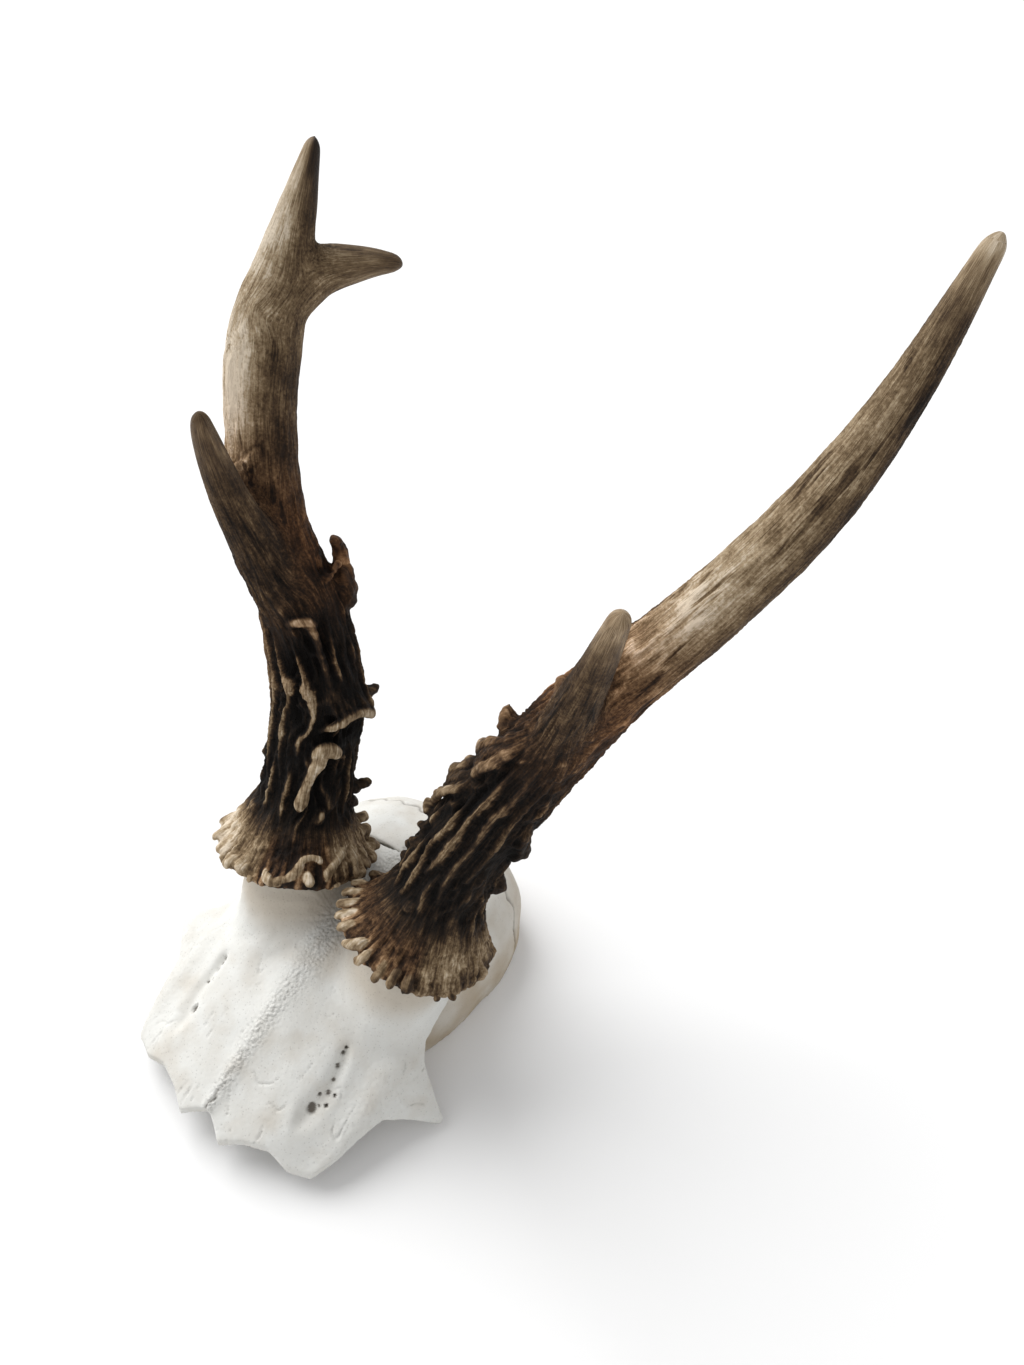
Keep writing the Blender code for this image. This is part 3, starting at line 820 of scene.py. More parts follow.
# on the burr: stations of distance along, turn, height over the burr's own profile, half width and
# half thickness, and how pale
leftAntler["burrDetails"] = {
    "fingerA": ([
        (3.6, -108, 0.2, 1.0, 0.8), (1.8, -107, 0.8, 1.3, 1.1), (0.2, -106, 1.0, 0.9, 0.9),
    ], 0.69),
    "fingerB": ([
        (4.4, -84, 0.1, 0.9, 0.8), (2.4, -86, 0.9, 1.2, 1.1), (0.2, -87, 1.4, 1.0, 1.0),
    ], 0.76),
    "fingerC": ([
        (4.6, -72, 0.1, 0.9, 0.8), (2.2, -73, 0.9, 1.1, 1.0), (0.0, -75, 1.4, 0.9, 0.9),
    ], 0.72),
    "fingerD": ([
        (4.2, -60, 0.1, 1.0, 0.8), (1.8, -61, 0.9, 1.3, 1.1), (-0.6, -62, 1.4, 1.0, 1.0),
    ], 0.77),
    "fingerE": ([
        (3.8, -49, 0.1, 1.0, 0.8), (1.4, -50, 0.9, 1.3, 1.1), (-0.8, -52, 1.3, 1.0, 1.0),
    ], 0.79),
    "fingerF": ([
        (3.4, -38, 0.2, 0.9, 0.8), (1.0, -40, 0.9, 1.2, 1.0), (-1.0, -41, 1.2, 0.9, 0.9),
    ], 0.74),
    "block": ([
        (3.4, -18, 0.7, 1.6, 1.1), (1.6, -22, 1.3, 1.7, 1.2), (0.2, -27, 1.6, 1.1, 1.0),
        (-0.8, -30, 1.6, 0.9, 0.9),
    ], 0.77),
    "fingerG": ([
        (2.6, -10, 0.3, 0.9, 0.8), (0.2, -12, 1.6, 1.2, 1.0), (-0.8, -13, 2.4, 0.9, 0.9),
    ], 0.69),
    "fingerH": ([
        (2.6, 3, 0.2, 1.0, 0.9), (0.0, 3, 1.8, 1.3, 1.1), (-1.0, 3, 2.6, 0.9, 0.9),
    ], 0.57),
    "fingerI": ([
        (2.8, 14, 0.1, 1.0, 0.8), (0.2, 13, 1.2, 1.3, 1.0), (-1.2, 12, 1.6, 0.9, 0.9),
    ], 0.53),
    "fingerJ": ([
        (2.8, 24, 0.1, 1.0, 0.8), (0.4, 23, 1.2, 1.3, 1.0), (-1.0, 22, 1.6, 0.9, 0.9),
    ], 0.53),
    "rimBeadA": ([
        (0.4, 44, 0.8, 1.2, 1.1), (-0.8, 44, 1.0, 1.1, 1.0),
    ], 0.55),
    "rimBeadB": ([
        (0.8, 56, 0.6, 1.3, 1.1), (-0.6, 57, 0.9, 1.1, 1.0),
    ], 0.57),
    "rimBeadC": ([
        (1.2, 74, 0.6, 1.2, 1.0), (0.0, 76, 0.8, 1.0, 0.9),
    ], 0.53),
}
rightAntler["burrDetails"] = {
    "wormBar": ([
        (4.6, 41, 0.3, 0.8, 0.8), (5.6, 46, 0.8, 1.0, 0.9), (5.9, 52, 0.8, 0.9, 0.8),
        (5.6, 58, 0.8, 1.0, 0.9), (4.4, 61, 0.5, 0.9, 0.8),
    ], 0.80),
    "wormLeg": ([
        (5.2, 44, 0.8, 1.0, 0.9), (3.6, 41, 0.9, 1.2, 1.0), (2.2, 37, 0.9, 1.2, 1.0),
        (1.0, 33, 0.8, 1.0, 0.9),
    ], 0.80),
    "wormMid": ([
        (3.4, 48, 0.7, 0.9, 0.8), (1.8, 50, 0.8, 1.3, 1.1), (0.2, 52, 0.9, 1.1, 1.0),
    ], 0.80),
    "wormFinger": ([
        (7.4, 89, 0.4, 0.8, 0.8), (6.0, 81, 0.8, 1.0, 0.9), (4.4, 72, 0.8, 1.1, 0.9),
        (2.8, 65, 0.9, 1.4, 1.1), (1.2, 62, 0.8, 1.0, 0.9),
    ], 0.76),
    "wormLow": ([
        (2.4, 17, 0.4, 0.9, 0.8), (1.0, 22, 1.0, 1.3, 1.1), (0.6, 27, 1.0, 1.2, 1.1),
        (1.8, 33, 0.8, 1.1, 1.0),
    ], 0.80),
    "fingerRight": ([
        (6.2, 97, 0.3, 0.8, 0.8), (4.0, 92, 0.7, 1.0, 0.9), (1.8, 88, 0.8, 1.2, 1.0),
        (0.2, 85, 0.8, 1.0, 0.9),
    ], 0.74),
    "fingerRightTwo": ([
        (5.2, 108, 0.3, 0.9, 0.8), (3.0, 105, 0.7, 1.1, 1.0), (0.8, 102, 0.9, 1.0, 0.9),
    ], 0.70),
    "beadFront": ([
        (0.6, 70, 0.6, 1.1, 1.0), (-0.6, 71, 0.8, 1.0, 0.9),
    ], 0.78),
    "beadLow": ([
        (0.2, 10, 0.6, 1.3, 1.1), (-1.0, 8, 0.8, 1.2, 1.1),
    ], 0.66),
    "lumpA": ([
        (7.4, 128, 0.6, 1.6, 1.3), (6.0, 133, 1.6, 1.8, 1.5), (4.6, 138, 1.2, 1.4, 1.2),
    ], 0.66),
    "lumpB": ([
        (3.6, 124, 0.6, 1.6, 1.3), (2.2, 130, 1.2, 1.7, 1.4), (1.0, 135, 1.0, 1.4, 1.2),
    ], 0.62),
    "lumpC": ([
        (8.6, 142, 0.6, 1.5, 1.3), (7.6, 148, 2.2, 1.6, 1.4), (6.6, 152, 3.0, 1.1, 1.0),
    ], 0.68),
    "lobeA": ([
        (4.4, -30, 0.0, 1.6, 0.8), (2.0, -28, 0.8, 2.0, 1.1), (0.0, -27, 1.1, 1.6, 1.0),
    ], 0.78),
    "lobeB": ([
        (5.0, -48, 0.0, 1.6, 0.8), (2.4, -46, 0.9, 2.0, 1.1), (0.2, -44, 1.4, 1.5, 1.0),
    ], 0.80),
    "lobeC": ([
        (5.8, -66, 0.1, 1.6, 0.8), (3.2, -66, 1.0, 2.0, 1.1), (0.6, -67, 1.7, 1.5, 1.0),
    ], 0.80),
    "lobeD": ([
        (6.4, -86, 0.2, 1.5, 0.8), (3.8, -86, 1.1, 2.0, 1.1), (1.2, -87, 1.6, 1.4, 1.0),
    ], 0.76),
    "lobeE": ([
        (2.4, -10, 0.2, 1.3, 0.9), (0.4, -12, 1.0, 1.7, 1.1), (-1.2, -14, 1.1, 1.3, 1.0),
    ], 0.74),
}

# burr: a flared collar folded like a fan, whose folds end as rounded fingers at its rim; a sector is
# (from turn, to turn, paleness of the flange, paleness of the fold ends, fold height, extra flare)
burrLook = {
    "profile": [
        (-3.2, 11.6), (-2.9, 16.4), (-2.0, 19.2), (-0.6, 20.4), (1.0, 20.2), (3.2, 18.1), (6.0, 15.7),
        (10.0, 13.7), (15.0, 12.3),
    ],
    "folds": 34, "rimReach": 1.7, "foldHeight": 0.62, "wander": 3.4, "crossover": 8,
    "rimWidth": 2.4, "lobes": 0.9, "rimWave": 1.3, "flareFrom": 8.0, "flareWidth": 4.5,
}
leftAntler["burrSectors"] = [
    (-180, -115, 0.46, 0.62, 0.9, 0.3), (-115, -30, 0.44, 0.66, 0.5, 0.6),
    (-30, 28, 0.42, 0.62, 0.9, 0.8), (28, 62, 0.68, 0.72, 0.5, 1.0), (62, 120, 0.60, 0.68, 0.8, 1.0),
    (120, 180, 0.52, 0.62, 0.9, 0.4),
]
rightAntler["burrSectors"] = [
    (-180, -110, 0.56, 0.66, 0.9, 0.4), (-110, -22, 0.92, 0.96, 0.6, 1.9),
    (-22, 14, 0.62, 0.76, 0.9, 0.8), (14, 66, 0.24, 0.70, 0.8, 0.0), (66, 130, 0.58, 0.74, 0.8, 0.6),
    (130, 180, 0.60, 0.72, 0.9, 0.5),
]

# heights and widths in millimetres; a merge width is how softly two beams share what lies between
reliefLook = {
    "ridgeSpacing": 5.0, "ridgeLength": 26.0, "crestHeight": 0.7, "furrowDepth": 1.35, "crestWidth": 0.16,
    "fibreHeight": 0.15, "roughHeight": 0.26, "mergeWidth": 1.4, "webWidth": 1.6, "burrTop": 15.0,
    "placedCrestWidth": 1.25, "radialHeight": 0.2, "clodHeight": 0.34, "grainReach": 10.0,
}
# how far each thing shifts the tone, from 0 for black to 1 for ivory; the furrow, hollow, fold and foot
# terms are painted shade and the fork term is painted light
toneLook = {
    "crestGain": 0.34, "furrowPaintedShade": 0.16, "hollowPaintedShade": 0.12, "mottle": 0.05, "foldPaintedShade": 0.22,
    "footGain": 0.16, "footPaintedShade": 0.10, "forkPaintedLight": 0.14, "placedLoss": 0.04,
}


def sectorValues(sectors, turns):
    # flange paleness, fold end paleness, fold height and extra flare at each turn, each the mean of
    # the sectors weighted by an S curve that crosses over at their limits
    table = np.array(sectors)
    start, end, values = table[:, 0], table[:, 1], table[:, 2:]
    away = (turns[..., None] - (start + end) / 2 + 180) % 360 - 180
    halves = (end - start) / 2
    soft = burrLook["crossover"]
    inside = smoothStep(np.abs(away), halves + soft, halves - soft) + 1e-6
    return [np.sum(inside * column, axis=-1) / inside.sum(axis=-1) for column in values.T]


def burrFolds(antler, turns, along):
    # folds are a cosine round the collar whose phase wanders, rounded on top and sharp below
    circle = np.stack([np.cos(turns), np.sin(turns)], axis=-1)
    flat = np.concatenate([circle * 2.2, np.broadcast_to(along / 9, turns.shape)[..., None]], axis=-1)
    shape = turns.shape
    phase = burrLook["wander"] * 2.4 * noiseAt(flat.reshape(-1, 3), antler["seed"] + 5).reshape(shape)
    wave = 0.5 + 0.5 * np.cos(burrLook["folds"] * turns + phase)
    sizes = flat * [3.0, 3.0, 0.6]
    size = 0.68 + 1.15 * noiseAt(sizes.reshape(-1, 3), antler["seed"] + 6).reshape(shape)
    return np.sqrt(wave) * np.clip(size, 0.15, 1.4)


def burrRadius(along):
    # straight lines between the stations of the collar's profile
    profile = np.array(burrLook["profile"])[1:]
    return np.interp(along, profile[:, 0], profile[:, 1])


def burrShape(antler, spine):
    # the collar's profile carried round the beam's first direction, its rim pushed out by the folds
    seed = antler["seed"]
    knots = smoothPath([(along, radius, 0) for along, radius in burrLook["profile"]], 0.35)
    circle = np.linspace(-math.pi, math.pi, 420, endpoint=False)
    along = np.broadcast_to(knots[:, 0][:, None], (len(knots), len(circle)))
    turns = np.broadcast_to(circle, along.shape)
    folds = burrFolds(antler, turns, along)
    height, flare = sectorValues(antler["burrSectors"], np.degrees(turns))[2:]
    rim = bell(along, burrLook["rimWidth"])
    east, north = np.cos(circle), np.sin(circle)
    lobes = noiseAt(np.stack([east * 1.9, north * 1.6, circle * 0], axis=1), seed + 7)
    reach = burrLook["rimReach"] * (folds * height - 0.45) + burrLook["lobes"] * lobes
    radius = knots[:, 1][:, None] + rim * reach
    radius = radius + flare * bell(along - burrLook["flareFrom"], burrLook["flareWidth"])
    wave = noiseAt(np.stack([east * 2.4, north * 2.4, circle * 0 + 4], axis=1), seed + 8)
    along = along + burrLook["rimWave"] * rim * wave
    points = onSpine(spine, along, np.degrees(turns), radius).reshape(-1, 3)
    count = len(circle)
    start = np.arange(len(knots) - 1)[:, None] * count
    here = start + np.arange(count)
    beside = start + (np.arange(count) + 1) % count
    faces = np.stack([here, beside, beside + count, here + count], axis=-1).reshape(-1, 4).tolist()
    faces += [list(range(count))[::-1], list(range(len(points) - count, len(points)))]
    return points, faces


def denseStations(stations, step=0.35):
    # Catmull-Rom through stations of (along, turn, out, wide, high), with a turn counted as 0.2 mm
    knots = np.array(stations, float)
    scaled = knots * [1, 0.2, 1, 1, 1]
    return smoothPath(scaled, step) / [1, 0.2, 1, 1, 1]


def detailShapes(spine, details, baseRadius):
    # tubes laid over a surface of the given radius along listed stations
    shapes, samples = [], []
    for stations, pale in details.values():
        line = denseStations(stations)
        points = onSpine(spine, line[:, 0], line[:, 1], baseRadius(line[:, 0]) + line[:, 2])
        rise = abs(stations[-1][2] - stations[0][2])
        walk = np.linalg.norm(points[-1] - points[0])
        middle = len(points) // 2
        outward = points[middle] - spineValue(spine, "points", line[middle, 0])
        reference = spineValue(spine, "tangent", line[0, 0]) if rise > 0.6 * walk else outward
        share = np.linspace(0, 1, len(line))
        taper = np.sqrt(np.clip(np.minimum(share, 1 - share) * 5, 0.12, 1))
        wide, high = line[:, 3] * taper, line[:, 4] * taper
        shapes.append(sweep(points[None], wide[None], high[None], reference[None], 12))
        reach = np.minimum(wide, high) * 1.1
        samples.append(np.column_stack([points, reach, np.full(len(points), pale)]))
    return shapes, samples


def swellShapes(spine, swells):
    # overlapping flat tubes side by side, each rising by the square from the beam to the lip
    shapes = []
    for start, end, top, lip, height in swells:
        turns = np.arange(start, end + 1, 7.0)
        share = np.linspace(0, 1, 24)
        along = top + (lip - top) * share
        edge = np.sin(math.pi * (0.12 + 0.8 * (turns - start) / (end - start)))[:, None]
        out = height * edge * share**2.2 - 0.9
        grid = np.broadcast_to(along, out.shape)
        points = onSpine(spine, grid, turns[:, None], spineValue(spine, "radius", grid) + out)
        outward = points[:, 12] - spineValue(spine, "points", along[12])
        shapes.append(sweep(points, np.full(out.shape, 1.3), np.full(out.shape, 0.8), outward, 8))
    return shapes


def crestSamples(spine, crests):
    # points along the listed ridges, with each one's half width, height and paleness
    found = []
    for stations, pale in crests.values():
        line = denseStations(stations, 0.3)
        points = onSpine(spine, line[:, 0], line[:, 1], spineValue(spine, "radius", line[:, 0]))
        found.append(np.column_stack([points, line[:, 3], line[:, 2], np.full(len(points), pale)]))
    return np.vstack(found)


def squaredGaps(points, others):
    # squared distance from each point to each of the others, by (a - b)^2 = a^2 - 2ab + b^2
    square = np.sum(points**2, axis=1)[:, None] - 2 * points @ others.T
    return square + np.sum(others**2, axis=1)


def nearestSample(points, samples, score):
    # the sample that scores highest at each point, block by block; score works on distances and samples
    best = np.full(len(points), -1e9)
    chosen = np.zeros(len(points), int)
    for block in range(0, len(samples), 256):
        part = samples[block:block + 256]
        value = score(np.sqrt(np.maximum(squaredGaps(points, part[:, :3]), 0)), part)
        index = np.argmax(value, axis=1)
        value = value[np.arange(len(points)), index]
        better = value > best
        best[better] = value[better]
        chosen[better] = block + index[better]
    return best, samples[chosen]


def nearestOnSpine(points, spine):
    # distance along, turn and distance from the middle line, by the nearest sample and its tangent
    index = np.argmin(squaredGaps(points, spine["points"]), axis=1)
    gap = points - spine["points"][index]
    ahead = np.sum(gap * spine["tangent"][index], axis=1)
    along = spine["along"][index] + ahead
    across = gap - ahead[:, None] * spine["tangent"][index]
    sideways = np.sum(across * spine["side"][index], axis=1)
    forwards = np.sum(across * spine["front"][index], axis=1)
    return along, np.arctan2(sideways, forwards), np.linalg.norm(across, axis=1)


def depthInside(away, samples):
    # how far inside a tube's skin
    return samples[:, 3] - away


def crestNearness(away, samples):
    # 0 on a placed ridge, falling by 1 for each of its half widths
    return -away / samples[:, 3]


def curveAt(pairs, along):
    # straight lines between pairs of place and value
    table = np.array(pairs, float)
    return np.interp(along, table[:, 0], table[:, 1])


def ridgeField(along, turn, seed, radius=11.0):
    # crests are the bell round the zero crossings of a noise that is drawn out along the beam
    rings = radius / reliefLook["ridgeSpacing"]
    length = reliefLook["ridgeLength"]
    place = np.stack([np.cos(turn) * rings, np.sin(turn) * rings, along / length], axis=1)
    place[:, 0] += 0.45 * noiseAt(place * [0.7, 0.7, 2.6], seed + 1)
    place[:, 1] += 0.45 * noiseAt(place * [0.7, 0.7, 2.6], seed + 2)
    broad = bell(noiseAt(place, seed + 3), reliefLook["crestWidth"])
    thin = bell(noiseAt(place * [1.8, 1.8, 1.9], seed + 4), reliefLook["crestWidth"] * 1.1)
    beads = 0.75 + 0.45 * noiseAt(place * [1.2, 1.2, 6.0], seed + 5)
    return np.clip(np.maximum(broad * beads, 0.6 * thin), 0, 1.2)


def branchShape(spine, sides):
    # a round tube of the spine's radius, whose tip closes as the square root of what is left
    tipStart = spine["length"] - 4
    along = np.r_[np.arange(0, tipStart, 0.8), np.linspace(tipStart, spine["length"], 24)]
    radius = spineValue(spine, "radius", along)
    blunt = 1.3 * spine["radius"][-1]
    radius = (radius * np.sqrt(np.clip((spine["length"] - along) / blunt, 0.01, 1)))[None]
    points = spineValue(spine, "points", along)[None]
    return sweep(points, radius, radius, spine["front"][:1], sides)


def branchCloseness(spine, place):
    # 0 on a beam's or tine's skin, negative outside it and past its ends
    along, _, away = place
    skin = spineValue(spine, "radius", along)
    return skin - away - np.maximum(0, along - spine["length"]) - np.maximum(0, -4 - along)


def sharesOf(closeness, width):
    # each branch's share is e to the power of its closeness over the width, out of their sum
    weight = np.exp((closeness - closeness.max(axis=0)) / width)
    return weight / weight.sum(axis=0)


def beamLook(antler, beam, along, turn):
    # ridge strength, tone, gloss and streakiness of the beam; the tone carries painted light on the side
    # turned to the lamp, strongest by the fork, and painted shade on the side turned away from it
    outside = smoothStep(np.cos(turn - math.radians(antler["ridgedFrom"])), *antler["ridgedOver"])
    force = curveAt(antler["ridges"], along) * (1 - outside)
    force = force + curveAt(antler["sideRidges"], along) * outside
    # painted shade on the back and the animal's left side, turned away from the lamp, from the fork up
    awayFromLamp = smoothStep(np.cos(turn - math.radians(105)), 0.0, 0.9) * smoothStep(along, 92, 118)
    # painted light on the front and the animal's right side, turned to the lamp
    outer = smoothStep(np.cos(turn + math.radians(40)), 0.2, 0.9)
    paintedLight = toneLook["forkPaintedLight"] * bell(along - 112, 13)
    paintedLight = paintedLight + antler["lampSidePaintedLight"] * smoothStep(along, 98, 125)
    tone = curveAt(antler["tone"], along) + paintedLight * outer
    tone = tone - antler["awaySidePaintedShade"] * awayFromLamp * smoothStep(along, 190, 165)
    length = beam["length"]
    gloss = smoothStep(along, length - 22, length)
    clean = smoothStep(along, length - 48, length - 8)
    return force, tone, gloss, smoothStep(along, 60, 105) * (1 - 0.75 * clean)


def tineLook(antler, name, length, along):
    # the same for a tine; only a brow tine has ridges, near its root
    force = curveAt([(0, 0.6), (18, 0.45), (36, 0.15), (50, 0.0)], along) * (name == "brow")
    gloss = smoothStep(along, length - 24, length)
    return force, curveAt(antler[name + "Tone"], along), gloss, 0.7 * (1 - gloss)


def makeAntler(antler):
    side, seed = antler["side"], antler["seed"]
    facing = {"beam": (0, -1, 0), "brow": (0, -1, 0), "rear": (0, 0, 1)}
    spines = {name: makeSpine(antler[name], facing[name]) for name in facing if name in antler}
    shapes = [branchShape(spine, 48 if name == "beam" else 32) for name, spine in spines.items()]
    beam = spines["beam"]

    def beamRadius(along):
        return spineValue(beam, "radius", along)

    details, samples = detailShapes(beam, antler["details"], beamRadius)
    burrBits, burrSamples = detailShapes(beam, antler["burrDetails"], burrRadius)
    swells = swellShapes(beam, antler["swells"])
    voxel = antler["voxel"]
    shapes += [burrShape(antler, beam), *details, *burrBits, *swells]
    mesh = weldIntoOne(side + "Antler", shapes, voxel)
    edges = readEdges(mesh)
    points = smoothed(readPoints(mesh), edges, 2)

    # how deep each vertex is in a placed bead or finger, and how pale that is
    samples = np.vstack(samples + burrSamples)
    covered, nearest = nearestSample(points, samples, depthInside)
    paleness = nearest[:, 4]
    raised = smoothStep(covered, -0.9, -0.15)

    # a small fillet where what was placed meets the beam
    foot = bell(covered + 0.75, 0.55)
    points = smoothed(points, edges, 10, 0.6 * foot)
    writePoints(mesh, points)
    normals = readNormals(mesh)

    # how near each vertex is to each beam or tine, for blending their relief where they join
    places = {name: nearestOnSpine(points, spine) for name, spine in spines.items()}
    closeness = np.stack([branchCloseness(spines[name], place) for name, place in places.items()])
    shares = sharesOf(closeness, reliefLook["mergeWidth"])
    beamShare = sharesOf(closeness, reliefLook["webWidth"])[0]
    web = smoothStep(4 * beamShare * (1 - beamShare), 0.25, 0.9)
    # the web only fills the crotch, it takes nothing off the beam
    filled = smoothed(points, edges, 120, 0.9 * web)
    gain = np.maximum(0, ((filled - points) * normals).sum(axis=1))
    points = smoothed(points + normals * gain[:, None], edges, 12, 0.5 * web)
    writePoints(mesh, points)
    normals = readNormals(mesh)

    # what each branch has, summed by its share; grain is a place that runs straight on at a fork
    crest, strength, tone, streak, polish = np.zeros((5, len(points)))
    grain = np.zeros((len(points), 3))
    for index, (name, (along, turn, _)) in enumerate(places.items()):
        share = shares[index]
        if name == "beam":
            force, pale, gloss, streaky = beamLook(antler, beam, along, turn)
            origin = 0.0
        else:
            force, pale, gloss, streaky = tineLook(antler, name, spines[name]["length"], along)
            origin = nearestOnSpine(spines[name]["points"][:1], beam)[0][0]
        crest += share * ridgeField(along, turn, seed + 10 * index)
        strength += share * force
        tone += share * pale
        polish += share * gloss
        streak += share * streaky
        reach = reliefLook["grainReach"]
        place = np.stack([np.cos(turn) * reach, np.sin(turn) * reach, along + origin], axis=1)
        grain += share[:, None] * place
    alongBeam, turnBeam, awayBeam = places["beam"]
    onBurr = smoothStep(alongBeam, 13.5, 6) * smoothStep(awayBeam, 12.4, 14.2)

    # crests: the ridges by rule give way to the listed ones
    ragged = 1 + 0.45 * layeredNoise(points / 1.7, seed + 101, 2)
    score, nearCrest = nearestSample(points, crestSamples(beam, antler["crests"]), crestNearness)
    placed = bell(score * ragged, reliefLook["placedCrestWidth"])
    placed *= np.clip(nearCrest[:, 4] + 0.35, 0, 1.5)
    distance = -score * nearCrest[:, 3]
    crest = np.maximum(crest * smoothStep(distance, 1.2, 3.0), placed)
    nearPlaced = 0.9 * bell(distance, 3.0) * smoothStep(alongBeam, 98, 76)
    strength = np.maximum(strength, nearPlaced * shares[0])

    # relief: crests up, furrows down, hollows, none on top of what was placed
    free = (1 - raised) * (1 - onBurr)
    furrow = (1 - crest) * reliefLook["furrowDepth"] * 0.7
    lift = strength * (crest * reliefLook["crestHeight"] - furrow)
    sunk = np.zeros(len(points))
    for middle, turn, length, width, depth in antler["hollows"]:
        around = np.radians((np.degrees(turnBeam) - turn + 180) % 360 - 180) * awayBeam
        sunk += depth * bell(alongBeam - middle, length) * bell(around, width)
    lift -= sunk * (1 - crest) * shares[0]
    lumps = layeredNoise(points / 3.4, seed + 111, 2)
    roughness = layeredNoise(points / 1.3, seed + 71, 2)
    gnarled = layeredNoise(points / 2.5, seed + 131, 2)
    rugged = raised * smoothStep(paleness, 0.85, 0.6)
    lumpy = np.clip(strength + raised + onBurr, 0.15, 1)
    lift += (0.2 + 0.3 * rugged) * lumps * (1 - polish) * lumpy
    rough = roughness * (strength * 0.7 + onBurr * 0.7) * (1 - 0.85 * raised)
    lift = lift * free + reliefLook["roughHeight"] * rough
    fibreLine = noiseAt(grain * [1.1, 1.1, 0.16], seed + 81)
    lift += reliefLook["fibreHeight"] * fibreLine * (1 - polish) * (1 - 0.6 * raised)
    lift += raised * (0.12 + 0.45 * rugged) * gnarled

    # the burr's folds die out towards the beam and under the rim
    folds = burrFolds(antler, turnBeam, alongBeam)
    flange, ends, foldHeight = sectorValues(antler["burrSectors"], np.degrees(turnBeam))[:3]
    fanned = smoothStep(alongBeam, reliefLook["burrTop"], 6) * smoothStep(alongBeam, -2.5, 2.0)
    fanned *= (1 - raised) * (0.55 + 0.45 * smoothStep(awayBeam, 15.0, 19.5))
    lift += fanned * burrLook["foldHeight"] * foldHeight * (folds - 0.5)
    spread = np.stack([np.cos(turnBeam) * 17, np.sin(turnBeam) * 17, alongBeam / 6], axis=1)
    radial = noiseAt(spread, seed + 91)
    clods = layeredNoise(points / 1.9, seed + 121, 2)
    crusty = reliefLook["radialHeight"] * radial + reliefLook["clodHeight"] * clods
    lift += onBurr * crusty * (1 - raised)
    points = points + normals * lift[:, None]
    points = smoothed(points, edges, 14, 0.7 * smoothStep(polish, 0.3, 0.9))
    writePoints(mesh, smoothed(points, edges, 1, 0.35))

    # tone: base along the antler, paler on crests, with painted shade in the furrows and hollows
    mottled = layeredNoise(points / 6.0, seed + 61, 2)
    ridged = np.clip(strength, 0, 1) * (1 - raised) * (1 - onBurr)
    crestTone = tone + toneLook["crestGain"]
    crestTone = crestTone + (nearCrest[:, 5] - crestTone) * smoothStep(placed, 0.3, 0.7)
    polished = smoothStep(crest + 0.12 * lumps, 0.55, 0.95)
    groundTone = tone - toneLook["furrowPaintedShade"] * ridged * smoothStep(crest, 0.7, 0.15)
    groundTone -= toneLook["hollowPaintedShade"] * np.clip(sunk, 0, 1) * (1 - polished)
    groundTone += (crestTone - groundTone) * np.clip(ridged * 1.2, 0, 1) * polished
    groundTone += toneLook["mottle"] * mottled

    # on the burr the flange has one tone and the ends of the folds another, with painted shade in the
    # valleys between the folds at the rim
    rimward = smoothStep(awayBeam, 15.5, 20.0)
    foldTone = flange + (ends - flange) * rimward * smoothStep(folds, 0.35, 0.85)
    foldTone -= toneLook["foldPaintedShade"] * smoothStep(folds, 0.42, 0.1) * rimward * foldHeight
    foldTone += 0.07 * roughness + 0.08 * radial + 0.10 * clods
    groundTone = groundTone * (1 - onBurr) + foldTone * onBurr

    # what was placed keeps its own tone where it stands clear, with painted shade in the crease round its
    # foot
    placedTone = paleness - toneLook["placedLoss"] + 0.08 * mottled + 0.10 * roughness + 0.10 * gnarled
    ground = np.where(onBurr > 0.5, burrRadius(alongBeam), beamRadius(alongBeam))
    standing = awayBeam - ground
    besideFoot = bell(covered + 1.6, 1.6) * smoothStep(standing, 0.6, 2.2) * (1 - onBurr)
    groundTone += toneLook["footGain"] * besideFoot
    coverTone = smoothStep(covered, -0.6, 0.0)
    coverTone = coverTone * smoothStep(standing + 0.5 * gnarled, 0.3, 2.0 - 1.0 * onBurr)
    finalTone = groundTone * (1 - coverTone) + placedTone * coverTone
    finalTone -= toneLook["footPaintedShade"] * bell(covered + 0.95, 0.4) * (1 - onBurr)
    ruddyBurr = 0.42 * onBurr * (1 - coverTone) * smoothStep(flange, 0.62, 0.40)
    ruddy = 0.8 * bell(alongBeam - 82, 22) * shares[0] + 0.06 * shares[1] + ruddyBurr
    setAttribute(mesh, "tone", finalTone)
    setAttribute(mesh, "streak", streak * (1 - onBurr))
    setAttribute(mesh, "warm", np.clip(ruddy, 0, 1))
    setAttribute(mesh, "polish", np.clip(polish * 0.9 + 0.35 * coverTone, 0, 1))
    setAttribute(mesh, "grain", grain)
    return mesh, spines


def finishPiece(name, mesh, material, nodes):
    # the mesh becomes a shown piece that stands for the given nodes
    mesh.materials.clear()
    mesh.materials.append(material)
    mesh.polygons.foreach_set("use_smooth", np.ones(len(mesh.polygons), bool))
    mesh.update()
    piece = linkPiece(name, mesh)
    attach(piece, "root")
    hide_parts(*nodes)
    print(name, len(mesh.polygons), "faces")
    return piece


